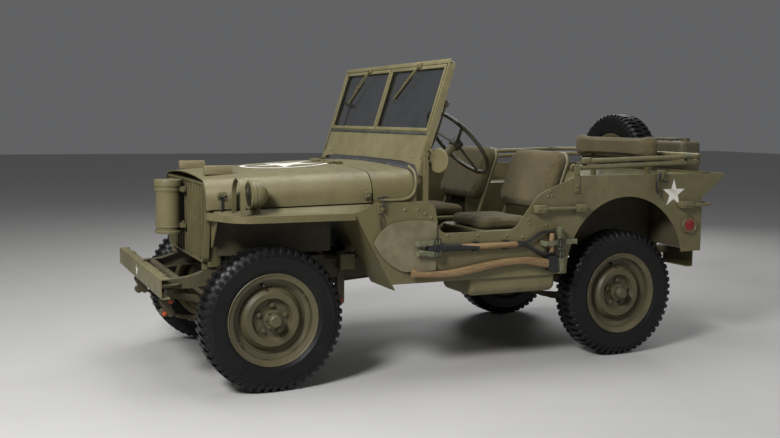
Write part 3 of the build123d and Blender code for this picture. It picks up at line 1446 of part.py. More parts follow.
# Top bows: two U-shaped tubes that lie folded back along the body.
BOW_BACK_X = BOW_X - BOW_REACH
BOW_RISE = 26
FRONT_BOW_X = BOW_X - 80
BOW_BEND = 110
BOW_PIN_R = 7
rear_bow_tube = bent_tube(
    [
        (BOW_X - 16, BOW_Y, BOW_Z),
        (BOW_BACK_X, BOW_Y, BOW_Z + BOW_RISE),
        (BOW_BACK_X, -BOW_Y, BOW_Z + BOW_RISE),
        (BOW_X - 16, -BOW_Y, BOW_Z),
    ],
    BOW_BEND,
    BOW_R,
)
FRONT_BOW_Z = BOW_Z + BOW_GAP + 3
front_bow_tube = bent_tube(
    [
        (FRONT_BOW_X - 14, BOW_Y, FRONT_BOW_Z),
        (BOW_BACK_X, BOW_Y, BOW_Z + BOW_RISE + BOW_GAP),
        (BOW_BACK_X, -BOW_Y, BOW_Z + BOW_RISE + BOW_GAP),
        (FRONT_BOW_X - 14, -BOW_Y, FRONT_BOW_Z),
    ],
    BOW_BEND,
    BOW_R,
)
LUG = 6
LUG_Y = BOW_Y - BOW_R - 1 - LUG
with BuildPart() as rear_bow:
    add(rear_bow_tube)
    for side in (-1, 1):
        with Locations(Location((BOW_X, side * BOW_Y, BOW_Z), (90, 0, 0))):
            Cylinder(20, 16)
            Cylinder(BOW_PIN_R + SEAT_GAP, 16, mode=Mode.SUBTRACT)
        with Locations((FRONT_BOW_X, side * (LUG_Y + LUG / 2), (BOW_Z + FRONT_BOW_Z) / 2 + 3)):
            Box(26, LUG, FRONT_BOW_Z - BOW_Z + 20)
        with Locations((FRONT_BOW_X, side * (LUG_Y + 10), BOW_Z + 2)):
            Box(26, 20, 12)
        with Locations(Location((FRONT_BOW_X, side * (LUG_Y + 18), FRONT_BOW_Z), (90, 0, 0))):
            Cylinder(BOW_PIN_R, 36)
save(rear_bow.part, "rear_bow")

with BuildPart() as front_bow:
    add(front_bow_tube)
    for side in (-1, 1):
        with Locations(Location((FRONT_BOW_X, side * BOW_Y, FRONT_BOW_Z), (90, 0, 0))):
            Cylinder(16, 2 * BOW_R - 4)
            Cylinder(BOW_PIN_R + SEAT_GAP, 2 * BOW_R, mode=Mode.SUBTRACT)
save(front_bow.part, "front_bow")

with BuildPart() as bow_brackets:
    box_between((BOW_X - 18, BOW_X + 18), (BODY_HALF, BODY_HALF + 7), (930, BOW_Z + 18))
    with Locations(Location((BOW_X, (BODY_HALF + LUG_Y) / 2 + 4, BOW_Z), (90, 0, 0))):
        Cylinder(BOW_PIN_R, BODY_HALF - LUG_Y - 2)
    mirror(about=Plane.XZ)
with BuildPart() as hinge_brackets:
    add(windshield_posts.part)
    add(bow_brackets.part)
save(hinge_brackets.part, "hinge_brackets")

# Tail lamps below the rear panel's corners and round reflectors on the sides.
REFLECTOR_R = 41
with BuildPart() as tail_lamps:
    with Locations(Location((PANEL_X - 14, BODY_HALF - 125, 640), (0, 90, 0))):
        Cylinder(36, 28)
    with Locations(Location((REAR_X - 423, BODY_HALF + 6, 729), (90, 0, 0))):
        Cylinder(REFLECTOR_R, 12)
    mirror(about=Plane.XZ)
save(tail_lamps.part, "lamps_and_reflectors")

# Guarded lamp on the left fender.
BLACKOUT_X = FRONT_X + 67
BLACKOUT_Y = BODY_HALF - 103
BLACKOUT_Z = FENDER_TOP + 93
BOWL_R = 70
GUARD_R = 82
GUARD_X = BLACKOUT_X + 78
GUARD_BAR = 22
with BuildPart() as blackout_lamp:
    with BuildSketch(Plane(origin=(BLACKOUT_X, BLACKOUT_Y, BLACKOUT_Z), x_dir=(1, 0, 0), z_dir=(0, -1, 0))):
        with BuildLine():
            Polyline((-56, 0), (38, 0), (38, BOWL_R - 8), (32, BOWL_R), (18, BOWL_R), (14, BOWL_R - 4))
            ThreePointArc((14, BOWL_R - 4), (-36, 44), (-56, 0))
        make_face()
    revolve(axis=Axis((BLACKOUT_X, BLACKOUT_Y, BLACKOUT_Z), (1, 0, 0)))
    with BuildSketch(Plane.XY.offset(FENDER_TOP)):
        with Locations((BLACKOUT_X, BLACKOUT_Y)):
            Circle(16)
    extrude(amount=50)
    with BuildSketch(Plane.YZ.offset(GUARD_X)):
        for size, mode in ((GUARD_R, Mode.ADD), (GUARD_R - SHEET, Mode.SUBTRACT)):
            with Locations((BLACKOUT_Y, BLACKOUT_Z)):
                Circle(size, mode=mode)
                Rectangle(2 * size, BLACKOUT_Z - FENDER_TOP, align=(Align.CENTER, Align.MAX), mode=mode)
    extrude(amount=GUARD_BAR)
    add(fenders.part, mode=Mode.SUBTRACT)
save(blackout_lamp.part, "blackout_lamp")

# Gear and transfer levers between the seats.
LEVER_Z = FLOOR_TOP + 1.8
gear_lever = bent_tube([(FRONT_X - 800, 0, LEVER_Z), (FRONT_X - 830, 0, 760), (FRONT_X - 890, 20, 900)], 60, 8)
levers = [gear_lever]
for lever_y in (-60, -110):
    levers.append(straight_rod((FRONT_X - 880, lever_y, LEVER_Z), (FRONT_X - 910, lever_y, 780), 7))
with BuildPart() as control_levers:
    for lever in levers:
        add(lever)
    with Locations((FRONT_X - 890, 20, 905)):
        Sphere(18)
    for lever_y in (-60, -110):
        with Locations((FRONT_X - 910, lever_y, 785)):
            Sphere(14)
save(control_levers.part, "control_levers")
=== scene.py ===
# Army 4x4 utility car: paint, rubber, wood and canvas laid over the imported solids.
# Metres, +X forward, +Y to the car's left, +Z up, origin on the floor below the middle.
import math

import bmesh
import bpy
from mathutils import Matrix, Vector


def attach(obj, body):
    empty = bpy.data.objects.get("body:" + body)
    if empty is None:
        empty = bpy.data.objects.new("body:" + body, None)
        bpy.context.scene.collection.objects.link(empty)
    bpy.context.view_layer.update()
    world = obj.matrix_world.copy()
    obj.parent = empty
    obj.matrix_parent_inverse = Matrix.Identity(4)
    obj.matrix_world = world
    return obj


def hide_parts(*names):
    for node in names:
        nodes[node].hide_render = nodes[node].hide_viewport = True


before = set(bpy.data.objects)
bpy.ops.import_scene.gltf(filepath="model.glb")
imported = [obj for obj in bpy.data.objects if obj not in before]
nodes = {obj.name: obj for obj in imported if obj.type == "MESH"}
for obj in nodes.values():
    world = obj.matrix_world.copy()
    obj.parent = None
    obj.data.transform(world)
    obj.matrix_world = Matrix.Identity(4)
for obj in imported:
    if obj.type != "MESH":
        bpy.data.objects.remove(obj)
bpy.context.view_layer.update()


# Frame, bumpers, springs and axles. Pressed and forged steel, riveted and bolted together, under one
# matt olive coat that collects dust on top and wears thin on the edges, which also carry a painted highlight.
class Shade:
    """One shader socket: sums on it add Math nodes, and add() makes any other node."""

    def __init__(self, socket):
        self.socket = socket
        self.tree = socket.id_data

    def add(self, kind, settings, inputs, output=0):
        """Make a node; its settings are set first, then its sockets' values or links."""
        made = self.tree.nodes.new(kind)
        for name, value in settings.items():
            setattr(made, name, value)
        for name, value in inputs.items():
            if isinstance(value, Shade):
                self.tree.links.new(value.socket, made.inputs[name])
            elif made.inputs[name].type == "RGBA":
                made.inputs[name].default_value = (*value, 1)
            else:
                made.inputs[name].default_value = value
        return Shade(made.outputs[output])

    def maths(self, operation, first, second):
        return self.add("ShaderNodeMath", {"operation": operation}, {0: first, 1: second})

    def __add__(self, other):
        return self.maths("ADD", self, other)

    __radd__ = __add__

    def __sub__(self, other):
        return self.maths("SUBTRACT", self, other)

    def __rsub__(self, other):
        return self.maths("SUBTRACT", other, self)

    def __mul__(self, other):
        return self.maths("MULTIPLY", self, other)

    __rmul__ = __mul__

    def clamped(self):
        return self.add("ShaderNodeMath", {"operation": "ADD", "use_clamp": True}, {0: self, 1: 0.0})

    def band(self, low, high):
        """0 below low, 1 above high, smooth between."""
        return self.add(
            "ShaderNodeMapRange",
            {"interpolation_type": "SMOOTHSTEP"},
            {"Value": self, "From Min": low, "From Max": high},
        )

    def noise(self, scale, detail=3.0, roughness=0.55, stretch=(1, 1, 1)):
        """Noise at this place; stretch squeezes it along the axes."""
        place = self.add("ShaderNodeMapping", {}, {"Vector": self, "Scale": stretch})
        inputs = {"Vector": place, "Scale": scale, "Detail": detail, "Roughness": roughness}
        return self.add("ShaderNodeTexNoise", {}, inputs)

    def bands(self, axis, scale):
        """Even bands that follow one another along an axis."""
        settings = {"wave_type": "BANDS", "bands_direction": axis}
        return self.add("ShaderNodeTexWave", settings, {"Vector": self, "Scale": scale})

    def along(self, axis):
        """One part, X, Y or Z, of a place or a direction."""
        return self.add("ShaderNodeSeparateXYZ", {}, {"Vector": self}, output=axis)

    def mix(self, first, second):
        """Colour between first, where this is 0, and second, where it is 1."""
        return self.add(
            "ShaderNodeMix", {"data_type": "RGBA"}, {"Factor": self, 6: first, 7: second}, output=2
        )


def linear(code):
    """Scene colour of a paint code such as 6b6442."""
    parts = [int(code[i : i + 2], 16) / 255 for i in (0, 2, 4)]
    return tuple(p / 12.92 if p <= 0.04045 else ((p + 0.055) / 1.055) ** 2.4 for p in parts)


def new_finish(name):
    """An empty material: its main shader node and the place on the piece to start patterns from."""
    finish = bpy.data.materials.new(name)
    finish.use_nodes = True
    tree = finish.node_tree
    main = tree.nodes["Principled BSDF"]
    place = tree.nodes.new("ShaderNodeTexCoord").outputs["Object"]
    return finish, main, Shade(place)


def feed(main, colour, roughness, height=None, depth=0.3, distance=0.002):
    """Link a pattern's colour, roughness and height to the main shader."""
    tree = main.id_data
    tree.links.new(colour.socket, main.inputs["Base Color"])
    tree.links.new(roughness.socket, main.inputs["Roughness"])
    if height is not None:
        bump = height.add(
            "ShaderNodeBump", {}, {"Strength": depth, "Distance": distance, "Height": height}
        )
        tree.links.new(bump.socket, main.inputs["Normal"])


def edge_mask(place, radius):
    """1 on sharp edges and corners, 0 on flats."""
    soft = place.add("ShaderNodeBevel", {"samples": 4}, {"Radius": radius})
    flat = place.add("ShaderNodeNewGeometry", {}, {}, output="Normal")
    same = place.add("ShaderNodeVectorMath", {"operation": "DOT_PRODUCT"}, {0: soft, 1: flat}, output="Value")
    return (1 - same).band(0.02, 0.22)


def top_mask(place):
    """1 on faces that look up, where dust settles."""
    facing = place.add("ShaderNodeNewGeometry", {}, {}, output="Normal")
    return facing.along("Z").band(0.45, 0.95)


def olive_paint(name, tone, light, dust, rough, dusting):
    """Matt olive coat: brushed-out tone, dust on top, painted shade in sheltered corners, edges worn thin
    with painted highlight.
    """
    finish, main, place = new_finish(name)
    cloud = place.noise(2.2, 4.0)
    mottle = place.noise(14.0, 5.0, 0.6)
    runs = place.noise(7.0, 3.0, 0.5, stretch=(1, 1, 0.3))
    peel = place.noise(420.0, 2.0)
    fade = (cloud * 0.55 + mottle * 0.35 + runs * 0.1).band(0.36, 0.66)
    colour = fade.mix(linear(tone), linear(light))
    settled = (top_mask(place) * place.noise(26.0, 5.0, 0.65).band(0.25, 0.8) * dusting).clamped()
    colour = settled.mix(colour, linear(dust))
    # Painted shade: the coat darkens towards 1d1a11 where little open sky reaches, in corners and recesses.
    open_sky = place.add("ShaderNodeAmbientOcclusion", {"samples": 6}, {"Distance": 0.22}, output="AO")
    colour = ((1 - open_sky.band(0.1, 0.72)) * 0.72).mix(colour, linear("1d1a11"))
    # Pale edges: partly paint worn thin, partly a painted highlight along sharp edges.
    worn_and_highlit_edges = edge_mask(place, 0.004) * place.noise(38.0, 4.0, 0.7).band(0.42, 0.7)
    colour = (worn_and_highlit_edges * 0.6).mix(colour, linear("8f8866"))
    gloss = rough - 0.09 * mottle.band(0.3, 0.75) + 0.16 * settled + 0.05 * peel
    feed(main, colour, gloss, peel * 0.6 + mottle * 0.8, 0.16, 0.0012)
    main.inputs["Specular IOR Level"].default_value = 0.42
    return finish


def dress(finish, *names):
    """Give a finish to whole CAD nodes."""
    for name in names:
        nodes[name].data.materials.clear()
        nodes[name].data.materials.append(finish)


body_olive = olive_paint("body_olive", "5e573a", "6f6849", "89846a", 0.46, 0.4)
wheel_olive = olive_paint("wheel_olive", "4b4530", "5c553b", "7b755c", 0.5, 0.3)
chassis_and_shade_olive = olive_paint("chassis_and_shade_olive", "3f3a28", "504935", "6f6a54", 0.62, 0.55)
shield_olive = olive_paint("shield_olive", "6a6345", "7d7657", "938d70", 0.44, 0.4)
rim_enamel = olive_paint("rim_enamel", "2c291b", "3a3625", "55503b", 0.34, 0.2)
# Chassis in its darker paint; on the wheel wells and the rear fuel can that darker paint is painted shade.
dress(
    chassis_and_shade_olive,
    "frame_rails", "frame_cross_members", "leaf_springs", "spring_hangers", "front_axle", "rear_axle",
    "knuckle_left", "knuckle_right", "tie_rod", "pintle_hook", "propshafts", "gearbox", "exhaust",
    "wheel_wells", "fuel_can",
)
dress(body_olive, "bumpers")

# Body tub, fenders, hood, cowl and the fittings painted with them. Pressed sheet steel
# with folded edges, spot welded and bolted, under the same olive coat.
dress(
    body_olive,
    "grille", "front_can", "hood", "cowl", "fenders", "body_sides", "rear_panel", "floor_pan",
    "hinge_brackets", "steering_column", "seat_frames", "fuel_tank", "grab_handles",
    "rear_bow", "front_bow", "blackout_lamp", "rear_carriers", "wipers",
    "rear_mirror", "headlamps", "lamps_and_reflectors", "control_levers",
)
APRON_Y, WELL_Y, LEVEL = 0.438, 0.440, 0.5  # inner edges of fenders and wells; least tilt of a level face
# Painted shade: the fenders' inner aprons and down-facing faces take the darker chassis paint.
fender_sheet = nodes["fenders"].data
fender_sheet.materials.append(chassis_and_shade_olive)
for face in fender_sheet.polygons:
    if abs(face.center.y) < APRON_Y or face.normal.z < -LEVEL:
        face.material_index = 1
# Painted shade: the wheel wells keep the darker chassis paint; only faces turned up or in towards the tub
# take the body paint.
well_sheet = nodes["wheel_wells"].data
well_sheet.materials.append(body_olive)
for face in well_sheet.polygons:
    inboard = face.normal.y * face.center.y < 0 and abs(face.center.y) < WELL_Y
    if face.normal.z > LEVEL or inboard:
        face.material_index = 1
dress(wheel_olive, "wheel_fl", "wheel_fr", "wheel_rl", "wheel_rr", "spare_wheel")
dress(shield_olive, "windshield_frame")
dress(rim_enamel, "steering_wheel")


def plain_iron(name, tone, light, rough):
    """Cast or black-painted iron with a sandy skin."""
    finish, main, place = new_finish(name)
    grain = place.noise(160.0, 4.0, 0.6)
    cloud = place.noise(11.0, 4.0)
    # Paler edges: partly worn through, partly a painted highlight along sharp edges.
    worn_and_highlit_edges = edge_mask(place, 0.003) * place.noise(45.0, 3.0).band(0.4, 0.65)
    colour = cloud.band(0.3, 0.7).mix(linear(tone), linear(light))
    colour = (worn_and_highlit_edges * 0.7).mix(colour, linear("6f6a60"))
    feed(main, colour, rough + 0.15 * grain - 0.1 * worn_and_highlit_edges, grain, 0.25, 0.0015)
    return finish


engine_iron = plain_iron("engine_iron", "3b3a30", "4c4a3c", 0.55)
black_steel = plain_iron("black_steel", "141416", "212124", 0.36)
dress(engine_iron, "engine_block")
dress(black_steel, "radiator")


# Tyres. Black rubber moulded with bar lugs that meet staggered at the middle of the tread and
# run down over the shoulders; plain sidewalls with fine rings above the bead.
FRONT_X, REAR_X, HALF_TRACK, AXLE_Z = 1.1785, -0.8535, 0.613, 0.352
HUB, WHEEL_AXIS = (0, 0, 0), (0, 1, 0)
LUGS, LUG_HALF = 54, 0.0105
LUG_FOOT, LUG_CREST = 0.3121, 0.3375  # radii that tell the lugs' outer edges from the buried ones
sidewall = [  # radius, place across, from bead to crown
    (0.2035, 0.052), (0.2225, 0.062), (0.229, 0.066), (0.232, 0.0685), (0.235, 0.068),
    (0.240, 0.0715), (0.243, 0.0735), (0.246, 0.073), (0.262, 0.0775), (0.280, 0.0793), (0.298, 0.0790),
    (0.301, 0.0803), (0.305, 0.0803), (0.308, 0.0785), (0.322, 0.0740), (0.334, 0.0655), (0.3405, 0.0560),
    (0.3415, 0.030), (0.3418, 0.0),
]
lug_outline = [  # radius, place across
    (0.337, -0.009), (0.337, 0.056), (0.318, 0.070), (0.311, 0.0735), (0.313, 0.0800), (0.326, 0.0778),
    (0.3385, 0.0715), (0.349, 0.0640), (0.3515, 0.0580), (0.352, 0.030), (0.352, -0.009),
]


def fit(shape, name, finish, body="root", crease=38):
    """Make a finished shape an object that rides on one of the car's bodies."""
    mesh = bpy.data.meshes.new(name)
    shape.to_mesh(mesh)
    shape.free()
    mesh.shade_smooth()
    mesh.set_sharp_from_angle(angle=math.radians(crease))
    mesh.materials.append(finish)
    piece = bpy.data.objects.new(name, mesh)
    bpy.context.scene.collection.objects.link(piece)
    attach(piece, body)
    return piece


def outward(*shapes):
    """Turn every face outwards."""
    for shape in shapes:
        bmesh.ops.recalc_face_normals(shape, faces=shape.faces)


def spin_line(shape, points, centre, axis, steps, closed=False):
    """Turn a line of points once round an axis."""
    line = [shape.verts.new(point) for point in points]
    runs = [shape.edges.new(pair) for pair in zip(line, line[1:] + line[:1] * closed)]
    bmesh.ops.spin(
        shape, geom=line + runs, cent=centre, axis=axis, angle=math.tau, steps=steps, use_merge=True
    )


def round_edges(shape, edges, by, steps=2):
    """Round edges off."""
    bmesh.ops.bevel(
        shape, geom=edges, offset=by, offset_type="OFFSET", segments=steps, profile=0.5, affect="EDGES",
        material=-1,
    )


def tyre_shape():
    """One tyre about the Y axis, its outer side towards +Y."""
    rubber = bmesh.new()
    section = sidewall + [(radius, -across) for radius, across in sidewall[-2::-1]]
    ring = [(0, across, radius) for radius, across in section]
    spin_line(rubber, ring, HUB, WHEEL_AXIS, 2 * LUGS, closed=True)
    outward(rubber)
    for side in (1, -1):
        lug = bmesh.new()
        outline = [lug.verts.new((-LUG_HALF, across, radius)) for radius, across in lug_outline]
        grown = bmesh.ops.extrude_face_region(lug, geom=[lug.faces.new(outline)])["geom"]
        moved = [v for v in grown if isinstance(v, bmesh.types.BMVert)]
        bmesh.ops.translate(lug, verts=moved, vec=(2 * LUG_HALF, 0, 0))
        outward(lug)
        outer = [
            e for e in lug.edges
            if abs(e.verts[0].co.x - e.verts[1].co.x) < 1e-6 and all(v.co.z > LUG_FOOT for v in e.verts)
            and any(v.co.z > LUG_CREST for v in e.verts)
        ]
        round_edges(lug, outer, 0.0016, 1)
        turn = math.pi / LUGS if side < 0 else 0.0
        place = Matrix.Rotation(turn, 4, "Y") @ Matrix.Diagonal((1, side, 1, 1))
        bmesh.ops.transform(lug, matrix=place, verts=lug.verts)
        if side < 0:
            bmesh.ops.reverse_faces(lug, faces=lug.faces)
        bmesh.ops.spin(
            lug, geom=lug.verts[:] + lug.edges[:] + lug.faces[:], cent=HUB, axis=WHEEL_AXIS,
            angle=math.tau * (LUGS - 1) / LUGS, steps=LUGS - 1, use_duplicate=True,
        )
        half = bpy.data.meshes.new("lugs")
        lug.to_mesh(half)
        lug.free()
        rubber.from_mesh(half)
        bpy.data.meshes.remove(half)
    return rubber


def tyre_rubber():
    """Black rubber: greyed where edges rub, dusty in patches, with a fine grain."""
    finish, main, place = new_finish("tyre_rubber")
    cloud = place.noise(9.0, 5.0, 0.6)
    grain = place.noise(260.0, 3.0)
    worn = edge_mask(place, 0.004) * place.noise(60.0, 3.0).band(0.35, 0.7)
    dusty = place.noise(22.0, 6.0, 0.7).band(0.48, 0.78)
    colour = cloud.band(0.3, 0.7).mix(linear("060606"), linear("0b0b0b"))
    colour = (dusty * 0.2).mix(colour, linear("2b2924"))
    colour = (worn * 0.3).mix(colour, linear("3d3c3a"))
    feed(main, colour, 0.4 + 0.24 * dusty + 0.1 * grain, grain + cloud * 2, 0.22, 0.0012)
    main.inputs["Specular IOR Level"].default_value = 0.3
    return finish


rubber_black = tyre_rubber()
wheel_places = {  # corner: body, turn about Z, centre
    "fl": ("wheel_fl", 0.0, (FRONT_X, HALF_TRACK, AXLE_Z)),
    "fr": ("wheel_fr", math.pi, (FRONT_X, -HALF_TRACK, AXLE_Z)),
    "rl": ("wheel_rl", 0.0, (REAR_X, HALF_TRACK, AXLE_Z)),
    "rr": ("wheel_rr", math.pi, (REAR_X, -HALF_TRACK, AXLE_Z)),
    "spare": ("root", math.pi / 2, (-1.618, -0.385, 1.010)),
}
moulded = tyre_shape()
for corner, (body, turn, centre) in wheel_places.items():
    copy = moulded.copy()
    seat = Matrix.Translation(centre) @ Matrix.Rotation(turn, 4, "Z")
    bmesh.ops.transform(copy, matrix=seat, verts=copy.verts)
    node = "spare_tyre" if corner == "spare" else "tyre_" + corner
    casing = fit(copy, node + "_casing", rubber_black, body, 32)
    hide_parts(node)
moulded.free()


# Wheel fittings. Five nuts hold each disc to its hub, bolts close the hub's drive flange,
# rivets join disc and rim, and a rubber valve stands in the rim's well.
bolt_circles = [  # how many, first angle, radius, place across, size, on a washer
    (5, 0.35, 0.068, 0.0150, 0.0155, True),
    (8, 0.20, 0.1935, 0.0335, 0.0085, False),
    (6, 0.0, 0.0385, 0.0465, 0.0085, True),
]
hub_cap = [(0.030, -0.030), (0.0335, -0.028), (0.0335, -0.018), (0.0305, -0.014)]  # radius, behind the nose
rim_lip = [(0.2165, 0.0625), (0.2195, 0.0665), (0.2235, 0.0680), (0.2265, 0.0655), (0.2250, 0.0620)]
valve_line = [  # radius, place along the stem
    (0.0, 0.0), (0.009, 0.0), (0.009, 0.008), (0.0055, 0.012), (0.005, 0.032), (0.0062, 0.033),
    (0.0062, 0.042), (0.003, 0.045), (0.0, 0.045),
]
FRONT_NOSE, REAR_NOSE = 0.102, 0.086
RIVET_RING, VALVE_FOOT = (0.166, 0.0092), (0.045, 0.012, 0.166)
HUB_FACE, HUB_REACH = 0.04, 0.004  # where the hub's own kit starts, and its radius squared


def facing(spot, out):
    """Place of a piece that stands on a face which looks along out."""
    return Matrix.Translation(spot) @ Vector(out).to_track_quat("Z", "Y").to_matrix().to_4x4()


def around(verts, kind):
    """Edges or faces that meet the points, each once and in order."""
    return list(dict.fromkeys(part for v in verts for part in getattr(v, kind)))


def add_bolt(shape, spot, out, size, washer=True):
    """Hexagon bolt head on its washer, set on a face that looks along out."""
    seat = facing(spot, out)
    if washer:
        bmesh.ops.create_cone(
            shape, cap_ends=True, segments=14, radius1=size * 1.05, radius2=size, depth=size * 0.22,
            matrix=seat @ Matrix.Translation((0, 0, size * 0.1)),
        )
    head = bmesh.ops.create_cone(
        shape, cap_ends=True, segments=6, radius1=size * 0.82, radius2=size * 0.80, depth=size * 0.75,
        matrix=seat @ Matrix.Translation((0, 0, size * 0.55)),
    )["verts"]
    crown = [f for f in around(head, "link_faces") if f.normal.dot(Vector(out)) > 0.9]
    round_edges(shape, [e for f in crown for e in f.edges], size * 0.14)


def add_rivet(shape, spot, out, size):
    """Domed rivet head on a face that looks along out."""
    head = bmesh.ops.create_uvsphere(shape, u_segments=12, v_segments=8, radius=size)["verts"]
    low = [v for v in head if v.co.z < -1e-6 - size * 0.1]
    bmesh.ops.delete(shape, geom=low, context="VERTS")
    dome = [v for v in head if v.is_valid]
    seat = facing(spot, out) @ Matrix.Diagonal((1, 1, 0.55, 1))
    bmesh.ops.transform(shape, matrix=seat, verts=dome)


def on_circle(radius, across, angle):
    """Point on a circle about the wheel's axis."""
    return radius * math.cos(angle), across, radius * math.sin(angle)


def wheel_fittings(nose):
    """Nuts, bolts, rivets, hub cap and rim lip of one wheel about the Y axis."""
    kit = bmesh.new()
    for count, first, radius, across, size, washer in bolt_circles:
        for step in range(count):
            spot = on_circle(radius, across, math.tau * step / count + first)
            add_bolt(kit, spot, WHEEL_AXIS, size, washer)
    for step in range(5):
        add_rivet(kit, on_circle(*RIVET_RING, math.tau * step / 5 + 0.85), WHEEL_AXIS, 0.009)
    spin_line(kit, [(0, nose + across, radius) for radius, across in hub_cap], HUB, WHEEL_AXIS, 28)
    spin_line(kit, [(0, across, radius) for radius, across in rim_lip], HUB, WHEEL_AXIS, 72)
    return kit


def valve_shape():
    """Rubber valve stem with its cap, standing out from the rim's well."""
    stem = bmesh.new()
    spin_line(stem, [(radius, along, 0) for radius, along in valve_line], HUB, WHEEL_AXIS, 12)
    bmesh.ops.remove_doubles(stem, verts=stem.verts, dist=1e-5)
    outward(stem)
    bmesh.ops.translate(stem, verts=stem.verts, vec=VALVE_FOOT)
    return stem


for corner, (body, turn, centre) in wheel_places.items():
    seat = Matrix.Translation(centre) @ Matrix.Rotation(turn, 4, "Z")
    kit = wheel_fittings(FRONT_NOSE if corner in ("fl", "fr") else REAR_NOSE)
    if corner == "spare":
        hub_kit = [v for v in kit.verts if v.co.y > HUB_FACE and v.co.x**2 + v.co.z**2 < HUB_REACH]
        bmesh.ops.delete(kit, geom=hub_kit, context="VERTS")
    outward(kit)
    bmesh.ops.transform(kit, matrix=seat, verts=kit.verts)
    fit(kit, "wheel_fittings_" + corner, wheel_olive, body)
    stem = valve_shape()
    bmesh.ops.transform(stem, matrix=seat, verts=stem.verts)
    fit(stem, "valve_" + corner, black_steel, body)


# Recognition stars. White paint put on through a stencil: one on each rear side, a small one on
# the bumper, and a large one in a ring on top of the hood; chalky, and worn through in specks.
HOOD_REAR, HOOD_LENGTH, HOOD_FALL, HOOD_CROWN = 0.6815, 0.773, 0.041, 0.018
HOOD_HALF, HOOD_TAPER, HOOD_TOP = 0.580, 0.193, 1.074
PAINT_LIFT, STAR_WAIST = 0.0012, 0.382


def star_paint():
    """Chalky white paint, worn through in specks."""
    finish, main, place = new_finish("star_white")
    worn = place.noise(70.0, 5.0, 0.7).band(0.66, 0.8)
    cloud = place.noise(12.0, 4.0)
    colour = cloud.mix(linear("d5d2c6"), linear("e4e1d6"))
    colour = (worn * 0.55).mix(colour, linear("857d5c"))
    feed(main, colour, 0.58 + 0.1 * cloud, cloud, 0.1, 0.001)
    return finish


def star_sheet(radius, ring=None):
    """Five-pointed star in the XY plane, point towards +Y, with a painted ring round it if asked."""
    sheet = bmesh.new()
    wheel = bmesh.ops.create_circle(sheet, cap_ends=True, segments=10, radius=radius)
    for v in wheel["verts"]:
        angle = math.atan2(v.co.y, v.co.x) - math.pi / 2
        if round(angle / (math.tau / 10)) % 2:
            v.co *= STAR_WAIST
    if ring:
        edge = bmesh.ops.create_circle(sheet, cap_ends=False, segments=72, radius=ring[0])["verts"]
        loop = [e for e in sheet.edges if e.verts[0] in edge and e.verts[1] in edge]
        grown = bmesh.ops.extrude_edge_only(sheet, edges=loop)["geom"]
        outer = [v for v in grown if isinstance(v, bmesh.types.BMVert)]
        bmesh.ops.scale(sheet, verts=outer, vec=(ring[1] / ring[0], ring[1] / ring[0], 1))
    bmesh.ops.triangulate(sheet, faces=[f for f in sheet.faces if len(f.verts) > 4])
    outward(sheet)
    if sum(f.normal.z for f in sheet.faces) < 0:
        bmesh.ops.reverse_faces(sheet, faces=sheet.faces)
    return sheet


def hood_top(x, y):
    """Height of the hood's crowned top at a place on it."""
    share = (x - HOOD_REAR) / HOOD_LENGTH
    chord = HOOD_HALF - HOOD_TAPER * share
    bow = (chord * chord + HOOD_CROWN**2) / (2 * HOOD_CROWN)
    return HOOD_TOP - HOOD_FALL * share - bow + math.sqrt(bow * bow - y * y)


star_white = star_paint()
hood_slope = math.degrees(math.atan2(HOOD_FALL, HOOD_LENGTH))
stars = [  # name, body, radius, ring, place, turns about X, Y, Z
    ("star_left", "root", 0.082, None, (-1.160, 0.7262, 0.912), (90, 0, 180)),
    ("star_right", "root", 0.082, None, (-1.160, -0.7262, 0.912), (90, 0, 0)),
    ("star_bumper", "root", 0.036, None, (1.6985, -0.030, 0.520), (90, 0, 90)),
    ("star_hood", "hood", 0.205, (0.222, 0.248), (0.900, -0.010, 1.0638), (0, hood_slope, -90)),
]
for name, body, radius, ring, spot, turns in stars:
    sheet = star_sheet(radius, ring)
    lean, tip, turn = (Matrix.Rotation(math.radians(t), 4, axis) for t, axis in zip(turns, "XYZ"))
    bmesh.ops.transform(sheet, matrix=Matrix.Translation(spot) @ tip @ turn @ lean, verts=sheet.verts)
    if body == "hood":
        bmesh.ops.subdivide_edges(sheet, edges=sheet.edges, cuts=5, use_grid_fill=True)
        for v in sheet.verts:
            v.co.z = hood_top(v.co.x, v.co.y) + PAINT_LIFT
    fit(sheet, name, star_white, body)


# Side tools. Ash handles rubbed with oil, black forged fittings, and a shovel blade painted with
# the body; cotton webbing with steel buckles straps both tools to loops on the side.
TOOL_Y, SHAFT_Z = 0.742, 0.669
AXE_Y, AXE_HALF = 0.751, 0.0129
WEBBING = 0.0022


def oiled_wood():
    """Oiled ash with long grain along the car."""
    finish, main, place = new_finish("oiled_wood")
    bend = place.noise(3.0, 3.0, 0.5, stretch=(1, 6, 6))
    grain = place.noise(24.0, 6.0, 0.65, stretch=(0.6, 9, 9))
    pores = place.noise(120.0, 3.0, 0.6, stretch=(0.25, 6, 6))
    stain = place.noise(7.0, 4.0)
    colour = (grain * 0.7 + bend * 0.3).band(0.34, 0.68).mix(linear("664e31"), linear("8f7651"))
    colour = (pores.band(0.56, 0.72) * 0.55).mix(colour, linear("57391d"))
    colour = (stain.band(0.55, 0.75) * 0.4).mix(colour, linear("5f4a30"))
    feed(main, colour, 0.5 + 0.16 * grain, pores + grain, 0.2, 0.0012)
    return finish


